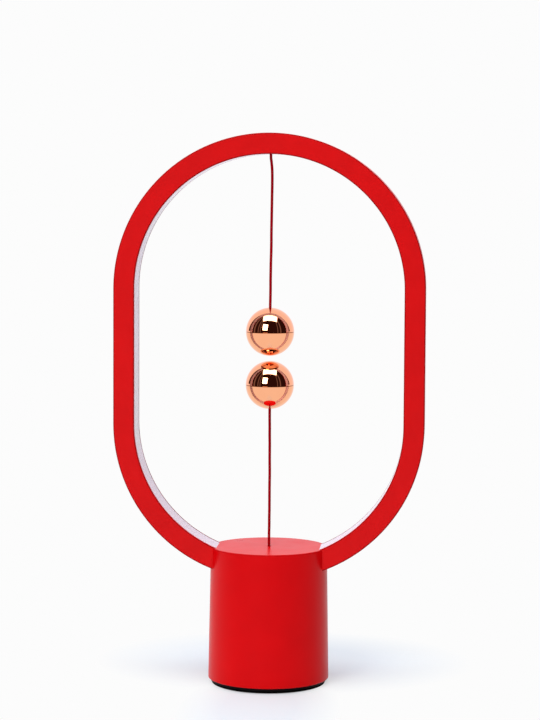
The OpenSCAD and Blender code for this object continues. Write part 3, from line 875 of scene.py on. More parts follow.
@dataclass(frozen=True)
class CircuitBoard(Finish):
    """Solder mask over copper tracks, which show lighter.

    Attributes:
        cells_per_mm: Cells of the pattern per millimetre.
        tracks: Tracks round the middle of a cell.
        track_range: Part of the way between two tracks over which the next one comes in.
        lighter: Change of the colour over a track, as a share.
    """

    cells_per_mm: float = 0.45
    tracks: float = 3.0
    track_range: tuple[float, float] = (0.55, 0.62)
    lighter: float = 0.9

    def tint(self, skin: Skin) -> Socket:
        """The mask's green, lighter along stepped lines that stand for tracks.

        Args:
            skin: The material's nodes.

        Returns:
            The colour.
        """
        cells = skin.add("TexVoronoi", Vector=skin.place(), Scale=self.cells_per_mm)
        cells.distance = "MANHATTAN"
        bands = skin.maths("MULTIPLY", cells.outputs["Distance"], self.tracks)
        track = skin.span(skin.maths("FRACT", bands), 0.0, 1.0, *self.track_range)
        return skin.blend(track, super().tint(skin), self.shade(self.lighter))


@dataclass(frozen=True)
class TwoWires(Finish):
    """Jackets of a pair of wires in two colours, told apart by the mark.

    Attributes:
        other: sRGB colour of the second wire.
    """

    other: Rgb = (22, 22, 24)

    def tint(self, skin: Skin) -> Socket:
        """The other colour where the mark is 0, and the finish's own where it is 1."""
        return skin.blend(skin.mark(), linear(*self.other), super().tint(skin))


RED_PAINT = PaintedShell(
    "red_satin_paint", (222, 2, 8), 0.3, grain=Grain.PEEL, grain_mm=0.45, depth_mm=0.003,
    uneven=0.03, patch_mm=14.0, level=0.08, slot="red_paint",
)
RING_PAINT = replace(RED_PAINT, name="red_ring_paint", colour=(221, 17, 19), uneven=0.045)
COPPER = Plating(
    "copper_plating", (255, 181, 138), 0.02, metal=1.0, grain=Grain.SMOOTH, grain_mm=9.0,
    depth_mm=0.004, uneven=0.02, patch_mm=5.0, slot="copper_plating",
)
CORD_RED = BraidedCord(
    "red_braid", (158, 6, 17), 0.9, grain_mm=0.06, depth_mm=0.008, level=0.0, slot="red_cord",
)
OPAL = Finish(
    "opal_diffuser", (221, 200, 215), 0.15, grain_mm=0.3, depth_mm=0.004, uneven=0.015,
    patch_mm=9.0, level=0.7, slot="opal_plastic",
)
BLACK_PLASTIC = Finish(
    "black_plastic", (10, 8, 9), 0.6, grain_mm=0.3, depth_mm=0.012, level=0.08,
)
FOOT_RUBBER = Finish(
    "foot_rubber", (9, 7, 8), 0.85, grain_mm=0.35, depth_mm=0.03, uneven=0.12, level=0.0,
    slot="foot_rubber",
)
SCREW_STEEL = Finish(
    "screw_steel", (186, 188, 192), 0.3, metal=1.0, grain=Grain.BRUSHED, grain_mm=0.1,
    depth_mm=0.004,
)
BALLAST = replace(
    SCREW_STEEL, name="ballast_steel", colour=(128, 130, 134), rough=0.45, grain_mm=0.4,
    depth_mm=0.015, uneven=0.12,
)
SOCKET_STEEL = replace(
    SCREW_STEEL, name="socket_steel", colour=(196, 198, 202), rough=0.24, grain_mm=0.2,
    depth_mm=0.003,
)
SPRING_STEEL = replace(
    SCREW_STEEL, name="spring_steel", colour=(176, 178, 184), rough=0.25, grain_mm=0.08,
    depth_mm=0.003, slot="spring_steel",
)
NICKEL = Finish(
    "magnet_nickel", (196, 194, 188), 0.18, metal=1.0, grain=Grain.SMOOTH, grain_mm=2.0,
    depth_mm=0.004,
)
BOARD = CircuitBoard("solder_mask", (18, 92, 48), 0.35, grain_mm=0.4, depth_mm=0.01, uneven=0.08)
PART_BLACK = Finish("chip_epoxy", (34, 34, 37), 0.6, grain_mm=0.12, depth_mm=0.01, uneven=0.1)
PART_GREY = Finish("ferrite_grey", (74, 74, 80), 0.7, grain_mm=0.2, depth_mm=0.03, uneven=0.12)
CAN = Finish(
    "capacitor_sleeve", (52, 58, 84), 0.3, grain_mm=0.5, depth_mm=0.006, coat=0.4, patch_mm=2.0,
)
WHITE_PLASTIC = Finish("white_plastic", (222, 221, 214), 0.5, grain_mm=0.25, depth_mm=0.01)
ACETAL = Finish("acetal", (236, 235, 226), 0.35, grain_mm=0.5, depth_mm=0.006)
STRIP = Finish(
    "strip_film", (214, 168, 92), 0.4, grain_mm=0.6, depth_mm=0.01, uneven=0.2, patch_mm=2.5,
)
PHOSPHOR = Finish(
    "led_phosphor", (240, 214, 120), 0.4, grain_mm=0.1, depth_mm=0.01, uneven=0.12, patch_mm=1.5,
)
JACKETS = TwoWires(
    "wire_jackets", (190, 24, 30), 0.45, grain_mm=0.4, depth_mm=0.006, slot="wire_jacket",
)


class Workshop:
    """Dresses pieces and keeps one copy of each material."""

    def __init__(self) -> None:
        """Starts with no material made."""
        self.made: dict[str, bpy.types.Material] = {}

    def material(self, finish: Finish) -> bpy.types.Material:
        """The material of a finish, made when it is first asked for.

        Args:
            finish: The finish.

        Returns:
            Its material.
        """
        if finish.name not in self.made:
            self.made[finish.name] = finish.build()
        return self.made[finish.name]

    def dress(self, finish: Finish, *nodes: str) -> None:
        """Gives CAD nodes that stay their finish.

        Args:
            finish: The finish.
            nodes: Names of the nodes.
        """
        for node in nodes:
            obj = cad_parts[node]
            if not obj.material_slots:
                obj.data.materials.append(None)
            for slot in obj.material_slots:
                slot.material = self.material(finish)
            LOG.info("%s: CAD node in %s", node, finish.name)

    def fit(
        self, shell: Shell, name: str, body: str, node: str, finish: Finish
    ) -> bpy.types.Object:
        """Makes a piece, dresses it, and puts it on its body in place of a CAD node.

        Args:
            shell: The surface.
            name: Name of the piece.
            body: CAD body that it rides on.
            node: CAD node that it stands for.
            finish: Its finish.

        Returns:
            The piece.
        """
        obj = put(shell, name)
        obj.data.materials.append(self.material(finish))
        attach(obj, body)
        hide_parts(node)
        LOG.info("%s: %d faces in %s, for %s", name, len(obj.data.polygons), finish.name, node)
        return obj


# ---------------------------------------------------------------- the lamp


@dataclass(frozen=True)
class Sizes:
    """Sizes that several sub-assemblies share, as in the CAD model.

    Attributes:
        base_h: Height of the base.
        meet_z: Height of the middle of the gap between the balls.
        ball_gap: That gap.
        ball_r: Radius of a ball.
        ring_r: Radius of the ring's arcs outside.
        ring_in_r: Radius of the ring's arcs inside, at the diffuser.
        ring_depth: Size of the ring from front to back.
        arc_top_z: Height of the middle of the upper arc.
        arc_low_z: Height of the middle of the lower arcs.
        cord_r: Radius of a cord.
        cord_hole_r: Radius of the cords' holes in the base and in the diffuser.
        knot_r: Radius of the room for a knot.
        pull_travel: How far the pull is above its lowest place.
        bend_rise: Least distance of a bend from the surface that its cord leaves.
    """

    base_h: float = 60 * MM
    meet_z: float = 142.4 * MM
    ball_gap: float = 2.2 * MM
    ball_r: float = 10.5 * MM
    ring_r: float = 67.5 * MM
    ring_in_r: float = 58.4 * MM
    ring_depth: float = 18 * MM
    arc_top_z: float = 172.5 * MM
    arc_low_z: float = 113.9 * MM
    cord_r: float = 0.6 * MM
    cord_hole_r: float = 1.0 * MM
    knot_r: float = 1.35 * MM
    pull_travel: float = 1.5 * MM
    bend_rise: float = 0.75 * MM

    @property
    def upper_pivot_z(self) -> float:
        """Height at which the upper cord bends."""
        return self.arc_top_z + self.ring_in_r - self.bend_rise

    @property
    def lower_pivot_z(self) -> float:
        """Height at which the lower cord bends."""
        return self.base_h + self.pull_travel + self.bend_rise

    @property
    def upper_ball_z(self) -> float:
        """Height of the upper ball's middle."""
        return self.meet_z + self.ball_gap / 2 + self.ball_r

    @property
    def lower_ball_z(self) -> float:
        """Height of the lower ball's middle."""
        return self.meet_z - self.ball_gap / 2 - self.ball_r


SIZES = Sizes()


@dataclass
class Cords:
    """The two braided cords, from their bends to the knots in the balls.

    Attributes:
        knot_at: Distance from a ball's middle to the middle of its knot.
        knot_flat: How far from the knot's middle the cord enters it.
        knot_fill: Size of the knots in the balls, as a share of their room.
        knot_line: R and r of a knot's line and the radius of its tube, as shares of its radius.
        knot_grid: Rings along a knot, and points per ring.
        knot_strands: Strands that a line round a knot's tube crosses, and a line along it.
        knot_relief: Depth between them, as a share of the tube's radius.
        strands: Strands of the braid that wind one way.
        pitch: Turn of a strand over one radius along the cord, in radians.
        under: Height of the strands that wind the other way, as a share.
        sides: Points per ring of the braid.
        step: Distance between rings.
        relief: Depth between strands, as a share of the radius.
        lead: Straight stretch next to the bend, beyond one radius.
        sparse: Every so many points of the line. Not used.
        bead_half: Half of the length of the bead in a bend, without its ends.
        bead_fill: Size of the bead, as a share of the cord.
        upper_route: Points of the upper cord: offset to the right in millimetres, and share of
            the way from its bend to its knot.
        lower_route: The same of the lower cord.
    """

    knot_at: float = 6.35 * MM
    knot_flat: float = 0.9 * MM
    knot_fill: float = 0.98
    knot_line: Triple = (0.42, 0.27, 0.29)
    knot_grid: tuple[int, int] = (160, 16)
    knot_strands: tuple[int, int] = (6, 48)
    knot_relief: float = 0.12
    strands: int = 8
    pitch: float = 0.62
    under: float = 0.93
    sides: int = 32
    step: float = 0.1 * MM
    relief: float = 0.06
    lead: float = 0.05 * MM
    sparse: int = 10
    bead_half: float = 0.02 * MM
    bead_fill: float = 0.9
    upper_route: tuple[tuple[float, float], ...] = (
        (0, 0), (0.25, 0.03), (0.5, 0.07), (0.6, 0.12), (0.6, 0.18), (0.55, 0.24), (0.5, 0.3),
        (0.45, 0.36), (0.4, 0.42), (0.35, 0.48), (0.35, 0.54), (0.3, 0.6), (0.2, 0.66),
        (0.15, 0.72), (0.1, 0.78), (0.1, 0.84), (0.05, 0.9), (0, 0.95), (0, 1),
    )
    lower_route: tuple[tuple[float, float], ...] = (
        (0, 0), (0, 0.05), (0.05, 0.1), (0.05, 0.16), (0.1, 0.22), (0.1, 0.28), (0.1, 0.34),
        (0.1, 0.4), (0.15, 0.46), (0.15, 0.52), (0.1, 0.58), (0.1, 0.64), (0.1, 0.7),
        (0.05, 0.76), (0.05, 0.82), (0, 0.88), (0, 0.94), (0, 1),
    )

    def route(self, points: tuple[tuple[float, float], ...], pivot: float, end: float) -> Array:
        """A cord's line from its bend to its knot.

        Args:
            points: Offset to the right in millimetres, and share of the way from bend to knot.
            pivot: Height of the bend.
            end: Height of the end in the knot.

        Returns:
            Points of the line, close together.
        """
        away = math.copysign(SIZES.cord_r + self.lead, end - pivot)
        table = np.array(points)
        z = pivot + away + (end - pivot - away) * table[:, 1]
        given = np.stack([table[:, 0] * MM, np.zeros(len(z)), z], -1)
        start = np.array([[0, 0, pivot]])
        return smooth_path(np.concatenate([start, given]), self.step)

    def braid(self, path: Array) -> Shell:
        """A braided tube with round ends.

        Two families of strands wind round the cord in opposite directions. A family's height at
        angle a and distance s along the cord is |cos((n a +- k s) / 2)|, and the surface follows
        the higher one, so that diamonds of strands stand out and the pits lie between them.

        Args:
            path: Points of the cord's line.

        Returns:
            The tube, whose marks are the height of the braid.
        """
        line, share = round_ends(path, SIZES.cord_r)
        s = np.concatenate([[0], np.cumsum(np.linalg.norm(np.diff(line, axis=0), axis=1))])[:, None]
        a = np.linspace(0, FULL_TURN, self.sides + 1)[None]
        wind = self.strands / SIZES.cord_r * self.pitch
        one = np.abs(np.cos((self.strands * a + wind * s) / 2))
        two = np.abs(np.cos((self.strands * a - wind * s) / 2))
        height = np.maximum(one, two * self.under)
        radius = SIZES.cord_r * (1 - self.relief * (1 - height)) * share[:, None]
        radius[:, -1] = radius[:, 0]
        return from_grid(tube(line, radius, self.sides, (0, 1, 0)), marks=height)

    def straight(self, low: float, high: float) -> Shell:
        """A short upright stretch of braid.

        Args:
            low: Height of its lower end.
            high: Height of its upper end.

        Returns:
            The braid.
        """
        count = max(3, int(round((high - low) / self.step)) + 1)
        z = np.linspace(low, high, count)
        return self.braid(np.stack([np.zeros(count), np.zeros(count), z], -1))

    def knot(self, z: float, size: float, flip: bool) -> Shell:
        """A tight overhand knot.

        Its line is the trefoil ((R + r cos 3t) cos 2t, (R + r cos 3t) sin 2t, r sin 3t), the
        rings are square to the line's derivative by t, and strands of height
        |cos((n a + m t) / 2)| run along the tube.

        Args:
            z: Height of the knot's middle.
            size: Radius of the knot.
            flip: True for a knot that is upside down.

        Returns:
            The closed tube, whose marks are the height of the strands.
        """
        rings, sides = self.knot_grid
        t = np.linspace(0, FULL_TURN, rings + 1)
        t[-1] = 0.0
        big, small, thick = (size * share for share in self.knot_line)
        cos2, sin2, cos3, sin3 = np.cos(2 * t), np.sin(2 * t), np.cos(3 * t), np.sin(3 * t)
        sign = -1 if flip else 1
        reach = big + small * cos3
        line = np.stack([reach * cos2, reach * sin2, small * sin3 * sign + z], -1)
        along = np.stack(
            [
                -3 * small * sin3 * cos2 - 2 * reach * sin2,
                -3 * small * sin3 * sin2 + 2 * reach * cos2,
                3 * small * cos3 * sign,
            ],
            -1,
        )
        outward = np.stack([cos2, sin2, np.zeros(len(t))], -1)
        a = np.linspace(0, FULL_TURN, sides + 1)
        a[-1] = 0.0
        around, ahead = self.knot_strands
        height = np.abs(np.cos((around * a[None] + ahead * t[:, None]) / 2))
        radius = thick * (1 - self.knot_relief * (1 - height))
        return from_grid(wrap(line, unit(along), outward, radius, sides), marks=height)

    def build(self, shop: Workshop) -> None:
        """Args:
            shop: Where pieces are made.
        """
        plan = (
            ("upper", self.upper_route, SIZES.upper_pivot_z, SIZES.upper_ball_z, 1),
            ("lower", self.lower_route, SIZES.lower_pivot_z, SIZES.lower_ball_z, -1),
        )
        for name, route, pivot, ball, up in plan:
            path = self.route(route, pivot, ball + up * self.knot_at + up * self.knot_flat)
            swing = f"{name}_swing"
            piece = shop.fit(
                self.braid(path), f"{name}_cord_braid", swing, f"{name}_cord", CORD_RED
            )
            knot_z = path[-1, 2] - up * self.knot_flat
            knot = self.knot(knot_z, SIZES.knot_r * self.knot_fill, up < 0)
            shop.fit(knot, f"{name}_knot_in_ball", swing, f"{name}_cord_knot", CORD_RED)
        for name, _, pivot, _, _ in plan:
            bead = self.straight(pivot - self.bead_half, pivot + self.bead_half)
            middle = np.array([0, 0, pivot])
            bead.points = middle + (bead.points - middle) * self.bead_fill
            shop.fit(bead, f"{name}_bend_core", f"{name}_bend", f"{name}_cord_bend", CORD_RED)


@dataclass
class CordRoots:
    """The hidden ends of the cords: one knotted over the bridge, one in the plunger.

    Attributes:
        bridge_top: Height of the bridge's upper face.
        window_top: Height of the top of the plunger's window.
        sink: Height of the upper knot's middle over the bridge, as a share of its room's radius.
        fill: Size of the upper and of the lower knot, as a share of their room.
    """

    bridge_top: float = 235.1 * MM
    window_top: float = 43.7 * MM
    sink: float = 0.72
    fill: tuple[float, float] = (0.9, 0.98)

    def build(self, shop: Workshop, cords: Cords) -> None:
        """Makes both roots, each a stretch of braid with its knot.

        Args:
            shop: Where pieces are made.
            cords: The cords, whose braid and knots they share.
        """
        upper_z = self.bridge_top + SIZES.knot_r * self.sink
        lower_z = self.window_top - SIZES.knot_r
        upper_size, lower_size = (SIZES.knot_r * share for share in self.fill)
        upper = cords.straight(SIZES.upper_pivot_z, upper_z)
        upper = join(upper, cords.knot(upper_z, upper_size, False))
        lower = cords.straight(lower_z, SIZES.lower_pivot_z)
        lower = join(lower, cords.knot(lower_z, lower_size, True))
        shop.fit(upper, "upper_cord_root", "base", "upper_cord_end", CORD_RED)
        shop.fit(lower, "lower_cord_root", "pull", "lower_cord_end", CORD_RED)


@dataclass
class LightRing:
    """The oval ring: a painted channel that is open inwards, with a diffuser in its mouth.

    Attributes:
        outer_wall: Thickness of the channel's outer wall.
        side_wall: Thickness of its front and rear walls.
        edge_r: Radius of its edges.
        edge_steps: Points per edge of the channel.
        lip_r: Radius of the edges beside the diffuser.
        mouth: Distance between the ring's ends in the base.
        diffuser_t: Thickness of the diffuser.
        diffuser_edge_r: Radius of its edges.
        diffuser_edge_steps: Points per edge of the diffuser.
        slack: Gap between the diffuser and the channel's walls.
        hatch: Half of the side of the square round the cord's hole.
        hatch_steps: Faces along that side.
        hatch_rings: Rings of faces between the square and the hole.
        low_rows: Rows of faces along a lower arc.
        side_rows: Rows along a straight side.
        top_rows: Rows along the upper arc, from each side to the square.
    """

    outer_wall: float = 1.5 * MM
    side_wall: float = 1.4 * MM
    edge_r: float = 0.5 * MM
    edge_steps: int = 7
    lip_r: float = 0.15 * MM
    mouth: float = 20 * MM
    diffuser_t: float = 1.8 * MM
    diffuser_edge_r: float = 0.25 * MM
    diffuser_edge_steps: int = 4
    slack: float = 0.1 * MM
    hatch: float = 3.0 * MM
    hatch_steps: int = 8
    hatch_rings: int = 4
    low_rows: int = 40
    side_rows: int = 10
    top_rows: int = 48

    def angles(self) -> Array:
        """Angles of the top arc, with close rows at the crown.

        Returns:
            Angles in radians, from the left side to the right.
        """
        crown = math.asin(self.hatch / SIZES.ring_in_r)
        middle = math.pi / 2
        left = np.linspace(math.pi, middle + crown, self.top_rows + 1)
        top = np.linspace(middle + crown, middle - crown, self.hatch_steps + 1)
        right = np.linspace(middle - crown, 0, self.top_rows + 1)
        return np.concatenate([left[:-1], top, right[1:]])

    def sweep(self, section: Array) -> Array:
        """Carries a section along the ring.

        A section point (p, y) stays at depth y. It runs on a half circle of radius p at the top,
        straight down both sides, and on arcs of radius p below, which end where x is half of
        the mouth: the arc's angle is a share of acos(mouth / 2 / p), so both ends are upright.

        Args:
            section: Closed outline of points (p, y), shape (m, 2), the first again at the end.

        Returns:
            Grid of places, shape (rows, m, 3), from the left end to the right one.
        """
        p = section[:, 0][None]
        low = np.linspace(1, 0, self.low_rows + 1)[:, None] * np.arccos(self.mouth / 2 / p)
        top = self.angles()[:, None]
        side = np.linspace(SIZES.arc_low_z, SIZES.arc_top_z, self.side_rows + 1)[1:-1, None]
        flat = np.ones_like(side)
        x = np.concatenate(
            [-p * np.cos(low), -p * flat, p * np.cos(top), p * flat, p * np.cos(low[::-1])]
        )
        z = np.concatenate(
            [
                SIZES.arc_low_z - p * np.sin(low),
                side * np.ones_like(p),
                SIZES.arc_top_z + p * np.sin(top),
                side[::-1] * np.ones_like(p),
                SIZES.arc_low_z - p * np.sin(low[::-1]),
            ]
        )
        return np.stack([x, np.broadcast_to(section[:, 1], x.shape), z], -1)

    def ends(self, grid: Array) -> list[Array]:
        """The caps of both ends.

        Args:
            grid: Grid of places along the ring.

        Returns:
            Point numbers of the first row and of the last one.
        """
        rows, cols = grid.shape[:2]
        number = np.arange(rows * cols).reshape(rows, cols)
        return [number[0, :-1], number[-1, :-1]]

    def channel(self) -> Shell:
        """The channel: eight corners of a U, rounded, carried along the ring.

        Returns:
            The channel. The mark is 1 on its edges, which get painted shade, and 2 on the rear edge
            beside the diffuser, which gets a darker painted shadow.
        """
        half, wall = SIZES.ring_depth / 2, SIZES.ring_depth / 2 - self.side_wall
        floor = SIZES.ring_r - self.outer_wall
        inner, outer = SIZES.ring_in_r, SIZES.ring_r
        corners = np.array(
            [[outer, -half], [outer, half], [inner, half], [inner, wall], [floor, wall],
             [floor, -wall], [inner, -wall], [inner, -half]]
        )
        e, s = self.edge_r, self.lip_r
        radii = np.array([e, e, e, s, 2 * s, 2 * s, s, e])
        section = looped(rounded(corners, radii, self.edge_steps))
        edge = np.zeros((len(corners), self.edge_steps + 2))
        # Mark 1 puts painted shade on four edges of the channel; mark 2 puts a darker painted
        # shadow on the rear lip beside the diffuser.
        edge[[0, 1, 2, 7], 1:-1] = 1.0
        edge[3] = 2.0
        edge = np.append(edge.reshape(-1), edge[0, 0])
        grid = self.sweep(section)
        shell = from_grid(grid, marks=np.broadcast_to(edge, grid.shape[:2]))
        shell.caps = self.ends(grid)
        return shell

    def on_crown(self, radius: float, at: Array) -> Array:
        """Lifts (x, y) on to the crown of the ring: z is the height of its circle above x."""
        z = SIZES.arc_top_z + np.sqrt(radius**2 - at[..., 0] ** 2)
        return np.concatenate([at, z[..., None]], -1)

    def diffuser(self) -> Shell:
        """The diffuser: a flat strip with rounded edges, and the cord's hole at the crown.

        The strip is swept like the channel. At the crown a square is left out of both faces, and
        the hole's own patches take its place.

        Returns:
            The diffuser.
        """
        half = SIZES.ring_depth / 2 - self.side_wall - self.slack
        inner, outer = SIZES.ring_in_r, SIZES.ring_in_r + self.diffuser_t
        y = np.linspace(-self.hatch, self.hatch, self.hatch_steps + 1)
        n = len(y)
        corners = np.concatenate(
            [
                [[inner, -half]], np.stack([np.full(n, inner), y], -1), [[inner, half]],
                [[outer, half]], np.stack([np.full(n, outer), y[::-1]], -1), [[outer, -half]],
            ]
        )
        radii = np.zeros(len(corners))
        radii[[0, n + 1, n + 2, -1]] = self.diffuser_edge_r
        grid = self.sweep(looped(rounded(corners, radii, self.diffuser_edge_steps)))
        wide = self.diffuser_edge_steps + 2
        first = self.low_rows + self.side_rows + self.top_rows
        last = first + self.hatch_steps
        under = (1 + np.arange(n)) * wide
        over = ((n + 3 + np.arange(n)) * wide)[::-1]
        keep = np.ones((grid.shape[0] - 1, grid.shape[1] - 1), bool)
        keep[first:last, under[0] : under[-1]] = False
        keep[first:last, over[-1] : over[0]] = False
        strip = from_grid(grid, keep=keep)
        strip.caps = self.ends(grid)
        square = grid[first : last + 1]
        hole = opening(
            [square[:, under], square[:, over]],
            [partial(self.on_crown, radius) for radius in (inner, outer)],
            [0, 1],
            Outline((0, 0), (SIZES.cord_hole_r, SIZES.cord_hole_r), 2),
            self.hatch_rings,
        )
        return join(strip, hole)

    def build(self, shop: Workshop) -> None:
        """Makes the channel and the diffuser."""
        shop.fit(self.channel(), "ring_channel_skin", "base", "ring_channel", RING_PAINT)
        shop.fit(self.diffuser(), "ring_diffuser_skin", "base", "ring_diffuser", OPAL)


@dataclass
class Base:
    """The base: a slightly flared painted shell, and a black foot under it.

    Attributes:
        top_r: Radius at the top.
        low_r: Radius at the bottom.
        cavity_r: Radius of the cavity.
        plate_z: Height of the underside of the top.
        skirt_z: Height of the shell's lower edge.
        edge_r: Radius of the edges: the cord hole's, the top rim's, the skirt's outside and
            inside, and the one between the cavity's wall and its ceiling.
        edge_steps: Points per edge.
        rim_mark: Mark of the top rim, which sets its painted shade and its rougher paint.
        columns: Faces round the shell, beside the plug's block.
        plug: Outline of the plug's opening across x and z.
        block_half: Half of the height of the block that makes room for it.
        block_rows: Rows of faces over that height.
        block_deg: Half of the block's width, in degrees round the shell.
        block_columns: Faces over its width.
        block_rings: Rings of faces between the block's edge and the opening.
        cover_post: Post for a screw of the bottom cover.
        guide_post: Post for a screw of the plunger's guide.
        guide_y: Distance of those posts from the middle.
        saddle_post: Post for a screw of the ring's saddle.
        saddle_y: Distance of those posts to the front and to the back.
        saddle_in: Distance of their axes from the cavity's wall.
        foot_r: Radius of the rubber foot.
        foot_t: Thickness of the rubber foot.
        foot_edge_r: Radius of its lower edge.
        foot_edge_steps: Points on that edge.
        foot_sides: Faces round the foot.
        wave_r: Radius out to which its underside has rings.
        wave_points: Points from its middle to there.
        wave_depth: Depth of the rings.
        wave_pitch: Distance between them.
    """

    top_r: float = 25.4 * MM
    low_r: float = 26.4 * MM
    cavity_r: float = 23.4 * MM
    plate_z: float = 57.5 * MM
    skirt_z: float = 2.2 * MM
    edge_r: tuple[float, ...] = (0.2 * MM, 0.55 * MM, 0.4 * MM, 0.2 * MM, 0.3 * MM)
    edge_steps: int = 7
    rim_mark: float = 0.5
    columns: int = 130
    plug: Outline = Outline((0, 19.05 * MM), (6 * MM, 4 * MM), 9)
    block_half: float = 6 * MM
    block_rows: int = 12
    block_deg: float = 18
    block_columns: int = 18
    block_rings: int = 5
    cover_post: Boss = Boss(2.6 * MM, 1.25 * MM, 5 * MM, 30 * MM, 8 * MM)
    guide_post: Boss = Boss(2.6 * MM, 0.95 * MM, 50 * MM, 57.6 * MM, 6 * MM)
    guide_y: float = 15 * MM
    saddle_post: Boss = Boss(2.4 * MM, 0.95 * MM, 47 * MM, 57.6 * MM, 6 * MM)
    saddle_y: float = 12.1 * MM
    saddle_in: float = 3.0 * MM
    foot_r: float = 24.8 * MM
    foot_t: float = 1.0 * MM
    foot_edge_r: float = 0.3 * MM
    foot_edge_steps: int = 6
    foot_sides: int = 128
    wave_r: float = 22 * MM
    wave_points: int = 111
    wave_depth: float = 0.25 * MM
    wave_pitch: float = 2.2 * MM

    def wall_r(self, z: Array) -> Array:
        """Radius of the outer wall at a height: a straight line from the top to the bottom."""
        below = SIZES.base_h - z
        return self.top_r + (self.low_r - self.top_r) * below / (SIZES.base_h - self.skirt_z)

    def rearwards(self, radius: Array | float, at: Array) -> Array:
        """Carries (x, z) back to a wall of that radius: y is the depth of its circle at x."""
        y = np.sqrt(radius**2 - at[..., 0] ** 2)
        return np.stack([at[..., 0], y, at[..., 1]], -1)

    def on_outside(self, at: Array) -> Array:
        """Carries (x, z) back to the outer wall."""
        return self.rearwards(self.wall_r(at[..., 1]), at)

    def on_inside(self, at: Array) -> Array:
        """Carries (x, z) back to the cavity's wall."""
        return self.rearwards(self.cavity_r, at)

    def shell(self) -> Shell:
        """The shell with its cord hole, its wall and the opening for the plug.

        The outline of the wall is turned round the Z axis. At the rear a block is left out of
        the outer and the inner wall, and the opening's own patches take its place.

        Returns:
            The shell, whose marks give the top rim painted shade and a rougher paint.
        """
        middle = self.plug.centre[1]
        rows = np.linspace(middle - self.block_half, middle + self.block_half, self.block_rows + 1)
        n = len(rows)
        hole = SIZES.cord_hole_r
        corners = np.concatenate(
            [
                [[hole, self.plate_z], [hole, SIZES.base_h], [self.top_r, SIZES.base_h]],
                np.stack([self.wall_r(rows[::-1]), rows[::-1]], -1),
                [[self.low_r, self.skirt_z], [self.cavity_r, self.skirt_z]],
                np.stack([np.full(n, self.cavity_r), rows], -1),
                [[self.cavity_r, self.plate_z]],
            ]
        )
        radii = np.zeros(len(corners))
        radii[[1, 2, n + 3, n + 4, -1]] = self.edge_r
        rear, wide = math.pi / 2, math.radians(self.block_deg)
        fine = np.linspace(rear - wide, rear + wide, self.block_columns + 1)
        rest = np.linspace(rear + wide, rear - wide + FULL_TURN, self.columns + 1)
        angles = np.concatenate([fine, rest[1:]])
        grid = revolve(looped(rounded(corners, radii, self.edge_steps)), angles)
        span = self.edge_steps + 2
        edge = np.zeros((len(corners), span))
        # The top rim gets half of the paint's painted edge shade and half of its extra roughness.
        edge[2, 1:-1] = self.rim_mark
        edge = np.append(edge.reshape(-1), 0.0)
        outer = ((3 + np.arange(n)) * span)[::-1]
        inner = (n + 5 + np.arange(n)) * span
        keep = np.ones((grid.shape[0] - 1, grid.shape[1] - 1), bool)
        keep[outer[-1] : outer[0], : self.block_columns] = False
        keep[inner[0] : inner[-1], : self.block_columns] = False
        wall = from_grid(grid, marks=np.repeat(edge[:, None], len(angles), 1), keep=keep)
        plug_hole = opening(
            [grid[outer][:, : len(fine)], grid[inner][:, : len(fine)]],
            [self.on_outside, self.on_inside],
            [0, 2],
            self.plug,
            self.block_rings,
        )
        return join(wall, plug_hole)

    def bosses(self) -> list[Shell]:
        """The posts inside the shell that take the screws.

        Returns:
            Four for the bottom cover, two for the guide and four for the saddle.
        """
        corner = (self.cavity_r - self.cover_post.radius) * math.sqrt(0.5)
        y = self.saddle_y
        x = math.sqrt((self.cavity_r - self.saddle_in) ** 2 - y**2)
        signs = (-1, 1)
        cover = [self.cover_post.at(sx * corner, sy * corner) for sx in signs for sy in signs]
        guide = [self.guide_post.at(0, sy * self.guide_y) for sy in signs]
        saddle = [self.saddle_post.at(sx * x, sy * y) for sx in signs for sy in signs]
        return cover + guide + saddle

    def foot(self) -> Shell:
        """The rubber foot: a disc with shallow rings in its underside and a soft edge.

        Its underside is z = d (1 - cos(2 pi r / p)) / 2 out to the last ring, so it stands on
        the crests.

        Returns:
            The foot.
        """
        r = np.linspace(0, self.wave_r, self.wave_points)
        z = self.wave_depth * (1 - np.cos(FULL_TURN * r / self.wave_pitch)) / 2
        bend = self.foot_edge_r
        soft = sphere_arc(bend, -90, 0, self.foot_edge_steps) + [self.foot_r - bend, bend]
        top = np.array([[self.foot_r, self.foot_t], [0.0, self.foot_t]])
        return turned(np.concatenate([np.stack([r, z], -1), soft, top]), self.foot_sides)

    def build(self, shop: Workshop) -> None:
        """Makes the shell with its bosses, and the foot, and dresses the cover and the screws.

        Args:
            shop: Where pieces are made.
        """
        body = join(self.shell(), *self.bosses())
        shop.fit(body, "base_shell_skin", "base", "base_shell", RED_PAINT)
        shop.fit(self.foot(), "rubber_foot_skin", "base", "rubber_foot", FOOT_RUBBER)
        shop.dress(BLACK_PLASTIC, "bottom_cover")
        shop.dress(SCREW_STEEL, "cover_screws", "board_screws", "saddle_screws", "guide_screws")
        shop.dress(BALLAST, "ballast_weight")


